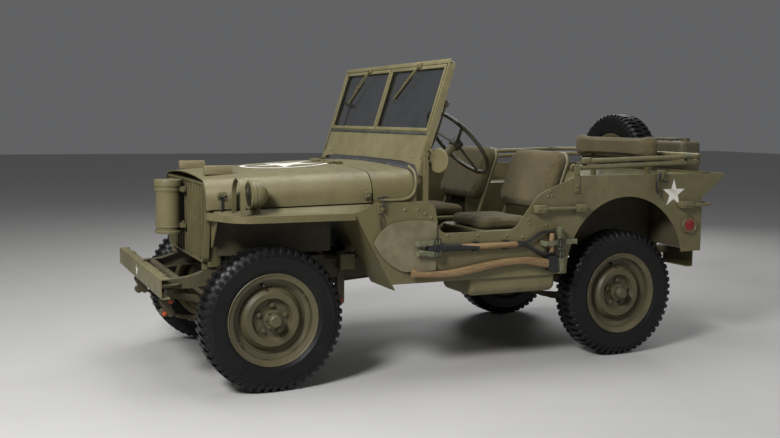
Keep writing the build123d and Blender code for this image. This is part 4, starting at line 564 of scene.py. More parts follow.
def tool_coat():
    """Black forged steel behind, olive paint on the blade ahead of its socket."""
    finish, main, place = new_finish("tool_coat")
    ahead = place.along("X")
    off_shaft = place.maths("ABSOLUTE", place.along("Z") - SHAFT_Z, 0.0)
    socket = (1 - off_shaft.band(0.0165, 0.0175)) * (1 - ahead.band(0.403, 0.404))
    blade = ahead.band(0.345, 0.3465) * (1 - socket)
    cloud = place.noise(12.0, 5.0, 0.6)
    worn = edge_mask(place, 0.003) * place.noise(40.0, 4.0).band(0.4, 0.62)
    coat = cloud.band(0.3, 0.7).mix(linear("655e45"), linear("787157"))
    forged = cloud.band(0.3, 0.7).mix(linear("121314"), linear("222325"))
    colour = (worn * 0.6).mix(blade.mix(forged, coat), linear("77736a"))
    feed(main, colour, 0.34 + 0.16 * blade + 0.12 * cloud, cloud, 0.12, 0.001)
    return finish


def webbing_weave():
    """Green cotton webbing: fine ribs both ways, faded in patches."""
    finish, main, place = new_finish("webbing")
    cloud = place.noise(30.0, 4.0)
    colour = cloud.band(0.3, 0.7).mix(linear("55573f"), linear("74755c"))
    weave = place.bands("Z", 90.0) * 0.6 + place.bands("X", 170.0) * 0.4
    feed(main, colour, 0.85 + 0.08 * cloud, weave, 0.45, 0.0012)
    return finish


handle_wood, shovel_coat, webbing = oiled_wood(), tool_coat(), webbing_weave()
dress(shovel_coat, "tool_steel")

handles = bmesh.new()
rods = [  # x, turn about Y, radius, length: the shovel's shaft and its cross grip
    (0.0435, 90, 0.016, 0.330),
    (-0.3395, 0, 0.014, 0.1014),
]
for x, turn, radius, length in rods:
    place = Matrix.Translation((x, TOOL_Y, SHAFT_Z)) @ Matrix.Rotation(math.radians(turn), 4, "Y")
    rod = bmesh.ops.create_cone(
        handles, cap_ends=True, segments=32, radius1=radius, radius2=radius, depth=length, matrix=place
    )["verts"]
    ends = [f for f in around(rod, "link_faces") if len(f.verts) > 4]
    round_edges(handles, [e for f in ends for e in f.edges], 0.002)
axe_line = [  # x, middle height and half height of the axe handle's oval section
    (0.4885, 0.5520, 0.0250), (0.484, 0.5515, 0.0247), (0.466, 0.547, 0.0200), (0.444, 0.5425, 0.0162),
    (0.400, 0.5385, 0.0160), (0.334, 0.537, 0.0172), (0.275, 0.5385, 0.0192), (0.216, 0.5435, 0.0210),
    (0.155, 0.552, 0.0218), (0.096, 0.5615, 0.0218), (0.030, 0.5715, 0.0206), (-0.040, 0.5790, 0.0194),
    (-0.100, 0.5825, 0.0188), (-0.152, 0.5832, 0.0192), (-0.190, 0.5805, 0.0208), (-0.235, 0.5740, 0.0236),
    (-0.275, 0.5665, 0.0242), (-0.3115, 0.5590, 0.0240),
]
last = []
for step, (x, z, half) in enumerate(axe_line):
    ease = 0.92 if step == 0 else 1.0
    place = Matrix.Translation((x, AXE_Y, z)) @ Matrix.Rotation(math.radians(90), 4, "Y")
    place = place @ Matrix.Diagonal((half * ease, AXE_HALF * ease, 1, 1))
    tip = step in (0, len(axe_line) - 1)
    oval = bmesh.ops.create_circle(handles, cap_ends=tip, segments=28, radius=1, matrix=place)["verts"]
    loop = around(oval, "link_edges")
    if last:
        bmesh.ops.bridge_loops(handles, edges=last + loop)
    last = loop
outward(handles)
rounded = fit(handles, "rounded_handles", handle_wood)
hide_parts("tool_handles")


def add_slab(shape, low, high, round_by, turn=None):
    """Rounded flat bar between two corners, turned about its middle if asked."""
    low, high = Vector(low), Vector(high)
    place = Matrix.Translation((low + high) / 2) @ (turn or Matrix()) @ Matrix.Diagonal((*(high - low), 1))
    bar = bmesh.ops.create_cube(shape, size=1, matrix=place)["verts"]
    round_edges(shape, around(bar, "link_edges"), round_by)


def add_block(shape, middle, half, round_by, turn=None):
    """Rounded bar given by its middle and its half sizes."""
    middle, half = Vector(middle), Vector(half)
    add_slab(shape, middle - half, middle + half, round_by, turn)


straps = [  # name, low corner, high corner, tilt about Y in degrees
    ("blade_strap_upper", (0.334, 0.7275, 0.686), (0.462, 0.7610, 0.712), 3),
    ("blade_strap_lower", (0.334, 0.7275, 0.633), (0.456, 0.7610, 0.659), -8),
    ("grip_strap_across", (-0.486, 0.7275, 0.657), (-0.276, 0.7640, 0.683), 2),
    ("grip_strap_upright", (-0.396, 0.7275, 0.508), (-0.368, 0.7675, 0.750), 6),
]
for name, low, high, tilt in straps:
    strap = bmesh.new()
    turn = Matrix.Rotation(math.radians(tilt), 4, "Y")
    add_slab(strap, (low[0], high[1] - WEBBING, low[2]), high, 0.0008, turn)
    way = 0 if high[0] - low[0] > high[2] - low[2] else 2
    for end in (low[way], high[way]):
        foot = Vector(low), Vector(high)
        foot[0][way], foot[1][way] = end - 0.002, end + 0.002
        add_slab(strap, *foot, 0.0006)
    bmesh.ops.subdivide_edges(strap, edges=[e for e in strap.edges if e.calc_length() > 0.05], cuts=6)
    fit(strap, name, webbing)

buckles = bmesh.new()
buckle_places = [  # middle, half width, half height
    ((0.352, 0.762, 0.699), 0.017, 0.020),
    ((0.348, 0.762, 0.646), 0.017, 0.020),
    ((-0.383, 0.7705, 0.669), 0.019, 0.022),
    ((-0.384, 0.7705, 0.612), 0.019, 0.019),
]
for (x, y, z), wide, tall in buckle_places:
    for up in (-1, 1):
        add_block(buckles, (x, y, z + up * tall), (wide, 0.003, 0.0025), 0.002)
    for along in (-1, 0, 1):
        add_block(buckles, (x + along * wide, y, z), (0.0025, 0.003, tall), 0.002)
fit(buckles, "strap_buckles", black_steel)

tongue = bmesh.new()
bmesh.ops.create_cone(
    tongue, cap_ends=True, segments=24, radius1=0.0172, radius2=0.0166, depth=0.100,
    matrix=Matrix.Translation((0.158, TOOL_Y, SHAFT_Z)) @ Matrix.Rotation(math.radians(-90), 4, "Y"),
)
bmesh.ops.bisect_plane(
    tongue, geom=tongue.verts[:] + tongue.edges[:] + tongue.faces[:], plane_co=(0.208, TOOL_Y, 0.682),
    plane_no=(-0.12, 0, 1), clear_outer=True,
)
fit(tongue, "shovel_tongue", black_steel)


# Body fasteners. Hexagon bolts and domed rivets through the folded edges of the tub,
# fenders, cowl and bumper, painted over with the rest.
SIDE_Y = 0.725
side_rivets = [  # x, z of each head on a side panel; the same on both sides
    (0.277, 0.729), (0.101, 0.722), (-0.073, 0.717), (-0.166, 0.702), (-0.243, 0.699), (-0.443, 0.704),
    (-0.204, 0.796), (-0.209, 0.770), (-0.314, 0.762), (-0.321, 0.913), (-0.345, 0.918), (-0.333, 0.941),
    (-1.500, 1.000),
]
side_rivets += [(x, 0.866 - max(0, 0.44 - x) * 0.6) for x in (0.519, 0.447, 0.404, 0.370)]
tub_bolts = bmesh.new()
for side in (1, -1):
    for x, z in side_rivets:
        add_rivet(tub_bolts, (x, side * SIDE_Y, z), (0, side, 0), 0.0085)
    for y in (0.350, 0.300, 0.520, 0.0):
        add_bolt(tub_bolts, (1.662, side * y, 0.568), (0, 0, 1), 0.010)
    for x, z, wide in ((-0.262, 0.850, 0.037), (-0.520, 0.850, 0.037), (-1.240, 0.848, 0.044)):
        add_block(tub_bolts, (x, side * 0.743, z), (wide, 0.0185, 0.020), 0.005)
        for along in (-0.02, 0.02):
            add_bolt(tub_bolts, (x + along, side * 0.7610, z), (0, side, 0), 0.0085)
    for z in (0.944, 0.966, 1.034):
        add_bolt(tub_bolts, (-0.498, side * 0.7320, z), (0, side, 0), 0.0085)
outward(tub_bolts)
fit(tub_bolts, "tub_bolts", body_olive)


# Windshield fittings. A folded top flange carries snap studs for the canvas top, screws run along
# the lower sheet, and a black rubber strip seals the sheet to the cowl.
SHIELD_FOOT = Vector((0.4025, 0, 1.110))
SHIELD_RAKE = math.radians(17.7)
SHIELD_FACE = 0.0152
shield_up = Vector((-math.sin(SHIELD_RAKE), 0, math.cos(SHIELD_RAKE)))
shield_out = Vector((math.cos(SHIELD_RAKE), 0, math.sin(SHIELD_RAKE)))


def on_shield(y, up, out):
    """Point on the raked windshield: across, up along it and out from its middle plane."""
    return SHIELD_FOOT + shield_up * up + shield_out * out + Vector((0, y, 0))


shield_rivets = [(-0.66 + 0.165 * step, 0.516, 0.0085) for step in range(9)]  # across, up, size
shield_rivets += [(y, 0.010, 0.005) for y in (-0.62, -0.60, -0.58, 0.58, 0.60, 0.62)]
shield_rivets += [(y, up, 0.0048) for y in (-0.684, 0.684) for up in (0.06, 0.20, 0.34, 0.48)]
studs = bmesh.new()
for y, up, size in shield_rivets:
    add_rivet(studs, on_shield(y, up, SHIELD_FACE), shield_out, size)
fit(studs, "windshield_studs", shield_olive, "windshield")


def black_rubber():
    """Weathered black rubber and sealing strip."""
    finish, main, place = new_finish("seal_rubber")
    cloud = place.noise(30.0, 5.0, 0.65)
    grain = place.noise(300.0, 2.0)
    colour = cloud.band(0.35, 0.7).mix(linear("202123"), linear("45474a"))
    feed(main, colour, 0.55 + 0.2 * cloud, grain, 0.2, 0.001)
    return finish


def window_glass():
    """Flat glass, faintly green, with a patchy haze of dust; its near-black tone and part opacity are painted
    shade.
    """
    finish, main, place = new_finish("window_glass")
    haze = place.noise(6.0, 5.0, 0.65)
    # Painted shade: the near-black tone and the partial opacity below stand in for dark surroundings seen
    # through the glass; the haze is dust.
    colour = haze.mix(linear("12181a"), linear("1d2426"))
    feed(main, colour, 0.03 + 0.06 * haze.band(0.45, 0.75))
    solid = 0.40 + 0.12 * haze.band(0.4, 0.8)
    main.id_data.links.new(solid.socket, main.inputs["Alpha"])
    main.inputs["Specular IOR Level"].default_value = 0.6
    return finish


def tube(name, points, radius, finish, body="root", smooth=6):
    """Round bead or rod along a smooth line through the points."""
    route = bpy.data.curves.new(name, "CURVE")
    route.dimensions = "3D"
    line = route.splines.new("NURBS")
    line.points.add(len(points) - 1)
    for knot, point in zip(line.points, points):
        knot.co = (*point, 1)
    line.order_u = 3
    line.use_endpoint_u = True
    line.resolution_u = smooth
    route.bevel_depth = radius
    route.bevel_resolution = 3
    route.use_fill_caps = True
    holder = bpy.data.objects.new(name, route)
    bpy.context.scene.collection.objects.link(holder)
    made = bpy.data.meshes.new_from_object(holder.evaluated_get(bpy.context.evaluated_depsgraph_get()))
    bpy.data.objects.remove(holder)
    shape = bmesh.new()
    shape.from_mesh(made)
    bpy.data.meshes.remove(made)
    return fit(shape, name, finish, body)


seal_rubber = black_rubber()
dress(window_glass(), "windshield_glass")
seal_line = [  # left half, from the cowl's side up to its crown
    (0.449, 0.704, 0.960), (0.447, 0.702, 1.000), (0.445, 0.680, 1.043), (0.443, 0.600, 1.064),
    (0.442, 0.40, 1.0735),
]
seal_line += [(0.441, 0.0, 1.081)] + [(x, -y, z) for x, y, z in reversed(seal_line)]
tube("cowl_seal", seal_line, 0.009, seal_rubber)


# Swinging inner frame of the windshield: two panes in light folded channels, with adjusting arms
# and wing knobs inside, a tubular top flange, and hand wipers hung from the upper channel.
GLASS_LOW, GLASS_HIGH, GLASS_SIDE, GLASS_MID = 0.160, 0.486, 0.664, 0.014
SIDES = ((1, "left"), (-1, "right"))


def span(middle, half):
    """Two limits about a middle."""
    return middle - half, middle + half


def shield_bar(shape, across, up, out, round_by):
    """Bar along the raked windshield between two limits across, up and out."""
    middle = on_shield(*(sum(limits) / 2 for limits in (across, up, out)))
    half = Vector([limits[1] - limits[0] for limits in (out, across, up)]) / 2
    add_block(shape, middle, half, round_by, Matrix.Rotation(-SHIELD_RAKE, 4, "Y"))


channels, strip, knobs = bmesh.new(), bmesh.new(), bmesh.new()
shield_bar(channels, (-0.700, 0.700), (0.503, 0.529), (0.011, 0.022), 0.005)
shield_bar(strip, (-0.684, 0.684), (0.126, 0.1385), (0.0135, 0.0175), 0.001)
for side, tag in SIDES:
    near, far = sorted((side * GLASS_MID, side * GLASS_SIDE))
    for low in (GLASS_LOW - 0.016, GLASS_HIGH - 0.003):
        shield_bar(channels, (near - 0.010, far + 0.010), (low, low + 0.019), (0.012, 0.021), 0.003)
    for edge in (near, far):
        height = (GLASS_LOW - 0.010, GLASS_HIGH + 0.010)
        shield_bar(channels, span(edge, 0.010), height, (0.012, 0.0205), 0.003)
    shield_bar(channels, span(side * 0.6905, 0.007), (0.0, 0.510), (0.012, 0.021), 0.003)
    shield_bar(channels, span(side * 0.640, 0.012), (0.500, 0.516), (-0.030, -0.014), 0.003)
    shield_bar(strip, span(side * 0.679, 0.0035), (0.010, 0.500), (0.0135, 0.0165), 0.001)
    for low in (GLASS_LOW - 0.002, GLASS_HIGH - 0.004):
        shield_bar(strip, (near, far), (low, low + 0.006), (0.002, 0.0075), 0.001)
    add_bolt(knobs, on_shield(side * 0.640, 0.315, -0.050), (0, side, 0), 0.016)
    shield_bar(knobs, span(side * 0.628, 0.003), (0.302, 0.328), (-0.078, -0.052), 0.002)
    shield_bar(knobs, span(side * 0.640, 0.006), (0.306, 0.324), (-0.052, -0.012), 0.002)
    arm = ((0.020, -0.018), (0.060, -0.040), (0.180, -0.052), (0.330, -0.050))
    arm = [on_shield(side * 0.650, up, out) for up, out in arm]
    tube("adjusting_arm_" + tag, arm, 0.0055, body_olive, "windshield")
fit(channels, "windshield_channels", shield_olive, "windshield")
fit(strip, "windshield_seals", seal_rubber, "windshield")
fit(knobs, "adjusting_knobs", body_olive, "windshield")

wiper_kit, wiper_rubber = bmesh.new(), bmesh.new()
for tag, y, lean in (("left", 0.372, 48), ("right", -0.296, 43)):
    across, down = math.sin(math.radians(lean)), math.cos(math.radians(lean))
    shield_bar(wiper_kit, span(y, 0.022), (0.488, 0.518), (0.019, 0.034), 0.005)
    for along, size in ((0.00, 0.012), (0.145, 0.006)):
        spot = on_shield(y - along * across, 0.504 - along * down, 0.031)
        add_bolt(wiper_kit, spot, shield_out, size)
    top, foot = (on_shield(y - along * across, 0.504 - along * down, 0.017) for along in (0.090, 0.270))
    way = (foot - top).normalized()
    turn = Matrix((shield_out.cross(way), way, shield_out)).transposed().to_4x4()
    add_block(wiper_rubber, (top + foot) / 2, (0.002, 0.092, 0.004), 0.001, turn)
    link = ((0.006, 0.512, 0.030), (-0.090, 0.440, 0.031), (-0.150, 0.378, 0.029), (-0.142, 0.372, 0.027))
    link = [on_shield(y + aside, up, out) for aside, up, out in link]
    tube("wiper_link_" + tag, link, 0.0028, body_olive, "windshield")
fit(wiper_kit, "wiper_mounts", body_olive, "windshield")
fit(wiper_rubber, "wiper_blades", seal_rubber, "windshield")


# Hood catches and cowl edge. A rolled bead stiffens the cowl's rear edge; on each side a sprung
# wire loop with a T-handle pulls the hood's hook down onto the cowl.
def add_plate(shape, x_span, y, half, z_span, round_by):
    """Upright plate between limits along and up, half thick each way about y."""
    add_slab(shape, (x_span[0], y - half, z_span[0]), (x_span[1], y + half, z_span[1]), round_by)


def on_side(side, line):
    """A line drawn for the left side, or its mirror image on the right for side -1."""
    return [(x, side * y, z) for x, y, z in line]


def steel_rod(name, points, radius, smooth=6):
    """Black steel rod or wire on the body."""
    tube(name, points, radius, black_steel, smooth=smooth)


cowl_bead = [
    (0.640, 0.7045, 0.914), (0.560, 0.7065, 0.913), (0.500, 0.7085, 0.918), (0.462, 0.7095, 0.945),
    (0.452, 0.7100, 0.985), (0.450, 0.7060, 1.020), (0.448, 0.6780, 1.058), (0.447, 0.610, 1.0755),
]
wire_loop = [  # x, z from the latch's lower edge
    (0, 0), (0.011, -0.006), (0.010, -0.040), (0.003, -0.072), (0, -0.074), (-0.004, -0.072),
    (-0.012, -0.040), (-0.011, -0.006), (0, 0),
]
latch_handle = [(0.622, 0.747, 0.936), (0.646, 0.746, 0.938), (0.676, 0.747, 0.930)]
LATCH_X, LATCH_FOOT, COIL_R = 0.646, 0.852, 0.0065
latch_coil = [
    (LATCH_X + COIL_R * math.cos(a), 0.745 + COIL_R * math.sin(a), 0.884 + 0.0016 * a)
    for a in (math.tau * step / 8 for step in range(41))
]
latch_loop = [(LATCH_X + x, 0.7335, LATCH_FOOT + z) for x, z in wire_loop]
for side, tag in SIDES:
    tube("cowl_bead_" + tag, on_side(side, cowl_bead), 0.0085, body_olive)
    hook = bmesh.new()
    add_plate(hook, (0.690, 0.722), side * 0.695, 0.006, (0.926, 0.960), 0.002)
    add_plate(hook, (0.699, 0.713), side * 0.706, 0.008, (0.936, 0.944), 0.002)
    for z in (0.932, 0.954):
        add_rivet(hook, (0.716, side * 0.7010, z), (0, side, 0), 0.005)
    fit(hook, "hood_hook_" + tag, body_olive, "hood")
    latch = bmesh.new()
    add_plate(latch, (0.624, 0.668), side * 0.728, 0.003, (LATCH_FOOT, 0.900), 0.002)
    for x, z in ((0.631, 0.892), (0.661, 0.892), (0.631, 0.860), (0.661, 0.860)):
        add_bolt(latch, (x, side * 0.7310, z), (0, side, 0), 0.0055, washer=False)
    add_plate(latch, (0.638, 0.654), side * 0.738, 0.010, (0.868, 0.884), 0.003)
    fit(latch, "hood_latch_" + tag, body_olive)
    steel_rod("latch_spring_" + tag, on_side(side, latch_coil), 0.0016, 2)
    steel_rod("latch_handle_" + tag, on_side(side, latch_handle), 0.0042)
    steel_rod("latch_loop_" + tag, on_side(side, latch_loop), 0.0019)


# Lamps and reflectors. Pressed steel bowls with a rolled ring round each lens: fluted clear glass
# ahead, red moulded glass behind and on the sides.
def lens_glass(name, tone, light, rough):
    """Moulded lens glass with fine flutes."""
    finish, main, place = new_finish(name)
    pips = place.add("ShaderNodeTexVoronoi", {}, {"Vector": place, "Scale": 210.0}, output="Distance")
    cloud = place.noise(20.0, 3.0)
    colour = (cloud * 0.5 + pips * 0.5).mix(linear(tone), linear(light))
    feed(main, colour, rough + 0.1 * cloud, place.bands("Y", 70.0) * 0.5 + pips, 0.4, 0.002)
    main.inputs["Coat Weight"].default_value = 0.25
    main.inputs["Coat Roughness"].default_value = 0.05
    return finish


def add_ring(shape, spot, out, inner, outer, high, steps=36):
    """Rolled ring about a lens, standing high above the face it sits on."""
    seat = facing(spot, out)
    crest = (inner + outer) / 2
    section = ((outer, 0), (outer, high * 0.6), (crest, high), (inner, high * 0.7), (inner, 0))
    spin_line(shape, [seat @ Vector((radius, 0, up)) for radius, up in section], spot, out, steps)


def add_lens(shape, spot, out, radius, crown, steps=28):
    """Crowned round lens on a face that looks along out."""
    seat = facing(spot, out)
    section = [(radius * part, 0, crown * (1 - part * part)) for part in (0, 0.3, 0.6, 0.85, 1)]
    spin_line(shape, [seat @ Vector(point) for point in section], spot, out, steps)
    bmesh.ops.remove_doubles(shape, verts=shape.verts, dist=1e-6)


AHEAD, BEHIND = (1, 0, 0), (-1, 0, 0)
lamp_rings, red_lenses, clear_lenses, dark_lens = (bmesh.new() for _ in range(4))
for side in (1, -1):
    aside = (0, side, 0)
    add_ring(lamp_rings, (-1.2765, side * 0.7245, 0.729), aside, 0.0440, 0.0500, 0.0155)
    add_lens(red_lenses, (-1.2765, side * 0.7345, 0.729), aside, 0.0446, 0.006)
    add_ring(lamp_rings, (-1.3995, side * 0.600, 0.640), BEHIND, 0.029, 0.0375, 0.008)
    add_lens(red_lenses, (-1.3995, side * 0.600, 0.640), BEHIND, 0.0295, 0.007)
    add_ring(lamp_rings, (1.4130, side * 0.354, 0.884), AHEAD, 0.066, 0.0775, 0.012, 48)
    add_lens(clear_lenses, (1.4150, side * 0.354, 0.884), AHEAD, 0.067, 0.010, 40)
    add_ring(lamp_rings, (1.4140, side * 0.372, 0.781), AHEAD, 0.024, 0.032, 0.010)
    add_lens(clear_lenses, (1.4160, side * 0.372, 0.781), AHEAD, 0.0245, 0.006)
add_ring(lamp_rings, (1.2800, 0.622, 0.950), AHEAD, 0.056, 0.0715, 0.008, 48)
add_lens(dark_lens, (1.2832, 0.622, 0.950), AHEAD, 0.0565, 0.008, 40)
outward(lamp_rings, red_lenses, clear_lenses, dark_lens)
for lens in red_lenses.faces:
    if lens.normal.dot(lens.calc_center_median() - Vector((-1.0, 0, 0.7))) < 0:
        lens.normal_flip()
for lens in clear_lenses.faces[:] + dark_lens.faces[:]:
    if lens.normal.x < 0:
        lens.normal_flip()
fit(lamp_rings, "lamp_rings", body_olive)
fit(red_lenses, "red_lenses", lens_glass("red_glass", "640a04", "86150a", 0.3))
fit(clear_lenses, "clear_lenses", lens_glass("clear_lens", "9aa09d", "c3c8c4", 0.12))
fit(dark_lens, "blackout_lens", lens_glass("hooded_lens", "1a1a14", "2c2b22", 0.2))


# Front can, hood rests and front catches. A small drawn can hangs in bands on the grille; two
# softwood blocks on the hood take the folded windshield; baffles close the radiator's sides.
def add_turned(shape, profile, centre, steps=44):
    """Turn a profile of (radius, height) about an upright axis through centre."""
    line = [(centre[0] + radius, centre[1], height) for radius, height in profile]
    spin_line(shape, line, (*centre, 0), (0, 0, 1), steps)


can_middle = (1.533, -0.020)
can_beads = [  # each bead's profile, radius and height
    [(0.0685, 0.711), (0.0725, 0.713), (0.0728, 0.722), (0.0685, 0.7255)],
    [(0.0685, 0.742), (0.0712, 0.7455), (0.0685, 0.749)],
    [(0.0685, 0.936), (0.0712, 0.9395), (0.0685, 0.943)],
    [
        (0.0685, 0.955), (0.0735, 0.957), (0.0738, 0.980), (0.0715, 0.9885), (0.0610, 0.9890),
        (0.0590, 0.9865), (0.0, 0.9865),
    ],
]
can_trim = bmesh.new()
for profile in can_beads:
    add_turned(can_trim, profile, can_middle)
bmesh.ops.remove_doubles(can_trim, verts=can_trim.verts, dist=1e-6)
for z in (0.770, 0.930):
    for side in (-1, 1):
        add_bolt(can_trim, (1.466, can_middle[1] + side * 0.046, z), (0, side, 0), 0.007)
outward(can_trim)
fit(can_trim, "front_can_trim", body_olive)


def rest_wood():
    """Painted softwood, bare and furry along its knocked edges."""
    finish, main, place = new_finish("rest_wood")
    grain = place.noise(30.0, 5.0, 0.65, stretch=(0.5, 8, 8))
    bare = (edge_mask(place, 0.010) * place.noise(55.0, 4.0, 0.7).band(0.3, 0.6)).clamped()
    colour = grain.band(0.35, 0.65).mix(linear("655e42"), linear("7b7354"))
    colour = (bare * 0.8).mix(colour, linear("b09d77"))
    feed(main, colour, 0.68 + 0.15 * grain, grain, 0.3, 0.0015)
    return finish


rest_finish = rest_wood()
catch_rod = [(1.386, 0.516, 0.862), (1.386, 0.515, 0.900), (1.386, 0.514, 0.934)]
catch_bar = [(1.372, 0.5215, 0.9345), (1.386, 0.5215, 0.936), (1.400, 0.5215, 0.9345)]
baffles = bmesh.new()
for side, tag in SIDES:
    rest = bmesh.new()
    add_plate(rest, (1.2775, 1.4155), side * 0.291, 0.0232, (1.031, 1.0737), 0.0035)
    fit(rest, "hood_rest_" + tag, rest_finish, "hood")
    add_plate(baffles, (1.362, 1.426), side * 0.386, 0.0015, (0.580, 0.860), 0.001)
    for z in (0.60, 0.66, 0.72):
        add_rivet(baffles, (1.412, side * 0.3875, z), (0, side, 0), 0.006)
    bracket = bmesh.new()
    add_plate(bracket, (1.366, 1.406), side * 0.5045, 0.003, (0.926, 0.958), 0.002)
    for x_span in ((1.366, 1.376), (1.396, 1.406)):
        add_plate(bracket, x_span, side * 0.512, 0.006, (0.938, 0.950), 0.002)
    fit(bracket, "front_catch_hook_" + tag, body_olive, "hood")
    steel_rod("front_catch_rod_" + tag, on_side(side, catch_rod), 0.0035)
    steel_rod("front_catch_bar_" + tag, on_side(side, catch_bar), 0.004)
fit(baffles, "radiator_baffles", body_olive)


# Spring pins and U-bolts. Grease fittings on the shackle and hanger pins, dabbed with orange-red
# paint so that the greasing round misses none; U-bolts clamp the leaves to the axles.
grease_red = plain_iron("grease_red", "8c3013", "b04a22", 0.42)
pin_places = [  # x, z
    (1.608, 0.420), (1.638, 0.362), (0.718, 0.362), (-1.304, 0.420), (-1.334, 0.362), (-0.374, 0.362),
]
u_bolt = [  # across from the spring's middle, height
    (-0.028, 0.246), (-0.028, 0.375), (-0.024, 0.400), (0.024, 0.400), (0.028, 0.375), (0.028, 0.246),
]
pins = bmesh.new()
for side in (-1, 1):
    for x, z in pin_places:
        add_bolt(pins, (x, side * 0.3770, z), (0, side, 0), 0.011)
    for axle in (FRONT_X, REAR_X):
        for along in (-0.055, 0.055):
            name = "u_bolt_%s%s%s" % tuple("fr"[v < 0] for v in (axle, side, along))
            bow = [(axle + along, side * 0.350 + across, z) for across, z in u_bolt]
            tube(name, bow, 0.0060, chassis_and_shade_olive)
outward(pins)
fit(pins, "grease_pins", grease_red)


# Top-bow clamps and ends. Sprung screw clamps on the body sides hold the folded bows; the bows' ends
# are flattened and drilled for their pivots, and webbing is wrapped round the tubes against rattle.
clamp_hook = [
    (-1.042, 0.754, 1.030), (-1.022, 0.757, 1.012), (-1.014, 0.756, 0.965), (-1.020, 0.750, 0.926),
    (-1.036, 0.744, 0.916),
]
clamp_screw = [(-1.055, 0.748, 0.990), (-1.055, 0.768, 0.985), (-1.055, 0.786, 0.984)]
clamp_chain = [
    (-1.064 - 0.003 * math.sin(step * 1.9), 0.736 + 0.003 * math.cos(step * 1.9), 0.930 - 0.0035 * step)
    for step in range(14)
]
clamps, wings = bmesh.new(), bmesh.new()
for side, tag in SIDES:
    add_plate(clamps, (-1.076, -1.034), side * 0.7295, 0.0045, (0.930, 1.046), 0.003)
    add_plate(clamps, (-1.068, -1.042), side * 0.743, 0.011, (0.990, 1.034), 0.004)
    add_plate(clamps, (-1.090, -1.030), side * 0.740, 0.006, (1.020, 1.046), 0.003)
    for z in (0.944, 0.970):
        add_bolt(clamps, (-1.055, side * 0.7340, z), (0, side, 0), 0.0085)
    add_plate(wings, (-1.074, -1.036), side * 0.781, 0.003, (0.978, 0.990), 0.0025)
    steel_rod("clamp_hook_" + tag, on_side(side, clamp_hook), 0.0055)
    steel_rod("clamp_screw_" + tag, on_side(side, clamp_screw), 0.006)
    steel_rod("clamp_chain_" + tag, on_side(side, clamp_chain), 0.0018, 2)
    eye = bmesh.new()
    add_plate(eye, (-0.602, -0.548), side * 0.700, 0.0150, (1.0840, 1.1165), 0.006)
    add_bolt(eye, (-0.5775, side * 0.7150, 1.100), (0, side, 0), 0.0085)
    fit(eye, "front_bow_eye_" + tag, body_olive, "front_bow")
    for bow, x, z in (("front_bow", -1.255, 1.1170), ("rear_bow", -1.262, 1.0920)):
        wrap = bmesh.new()
        for step in range(3):
            add_ring(wrap, (x - 0.0155 * step, side * 0.700, z), BEHIND, 0.0130, 0.0165, 0.0150, 18)
        outward(wrap)
        fit(wrap, bow + "_wrap_" + tag, webbing, bow)
outward(clamps)
fit(clamps, "bow_clamps", body_olive)
fit(wings, "clamp_wings", black_steel)


# Fuel can on the rear panel. Two pressed halves welded round the rim, with crossed stiffening ribs,
# held in its tray by a webbing strap.
# The ribs take the can's darker paint, which is painted shade.
for tag, foot, top in (("rising", 0.060, 0.296), ("falling", 0.296, 0.060)):
    rib = [(-1.694, foot, 0.850), (-1.6955, (foot + top) / 2, 0.975), (-1.694, top, 1.100)]
    tube("fuel_can_rib_" + tag, rib, 0.0075, chassis_and_shade_olive)
can_strap, can_buckle = bmesh.new(), bmesh.new()
add_slab(can_strap, (-1.7000, 0.002, 0.985), (-1.6975, 0.354, 1.015), 0.0008)
for y in (0.0045, 0.3515):
    add_plate(can_strap, (-1.7000, -1.535), y, 0.0012, (0.985, 1.015), 0.0008)
for y in (0.160, 0.178, 0.196):
    add_plate(can_buckle, (-1.7035, -1.6995), y, 0.0022, (0.980, 1.020), 0.0018)
for z in (0.980, 1.020):
    add_slab(can_buckle, (-1.7035, 0.160, z - 0.0022), (-1.6995, 0.196, z + 0.0022), 0.0018)
fit(can_strap, "fuel_can_strap", webbing)
fit(can_buckle, "fuel_can_buckle", black_steel)


# Instruments and mirror. Three round dials in turned bezels sit in the dash's holes, and a round
# driving mirror hangs on the windshield's post.
def dial_face():
    """Matt black dial card with a faint olive cast."""
    finish, main, place = new_finish("dial_face")
    grain = place.noise(140.0, 3.0)
    feed(main, grain.mix(linear("0d0d0c"), linear("1b1b17")), 0.5 + 0.1 * grain)
    return finish


def mirror_silver():
    """Silvered glass with a little haze."""
    finish, main, place = new_finish("mirror_silver")
    haze = place.noise(25.0, 4.0)
    feed(main, haze.mix(linear("b9bec0"), linear("d5d9da")), 0.03 + 0.08 * haze.band(0.5, 0.8))
    main.inputs["Metallic"].default_value = 1.0
    return finish


DIAL_Z = 0.985
bezels, cards, marks = bmesh.new(), bmesh.new(), bmesh.new()
for y in (-0.110, 0.0, 0.110):
    add_ring(bezels, (0.4480, y, DIAL_Z), BEHIND, 0.0300, 0.0370, 0.0065, 40)
    add_lens(cards, (0.4475, y, DIAL_Z), BEHIND, 0.0335, 0.0010)
    hands = [  # angle, x, radius, half width, half length
        (-135 + 27 * step, 0.4460, 0.0235, 0.0007, 0.0020 if step % 5 else 0.0032) for step in range(11)
    ]
    hands.append((-60, 0.4456, 0.008, 0.0009, 0.012))  # the needle
    for angle, x, radius, wide, reach in hands:
        lean = Matrix.Rotation(math.radians(angle), 4, "X")
        middle = Vector((x, y, DIAL_Z)) + lean @ Vector((0, 0, radius))
        add_block(marks, middle, (0.0004, wide, reach), 0.0002, lean)
outward(bezels, cards)
fit(bezels, "dial_bezels", rim_enamel)
fit(cards, "dial_cards", dial_face())
fit(marks, "dial_marks", star_white)
mirror_way = Vector((-math.cos(math.radians(28)), -math.sin(math.radians(28)), 0))
silver = bmesh.new()
add_lens(silver, Vector((0.3405, 0.735, 1.110)) + mirror_way * 0.0063, mirror_way, 0.0565, 0.0008, 40)
outward(silver)
fit(silver, "mirror_glass", mirror_silver(), "windshield")


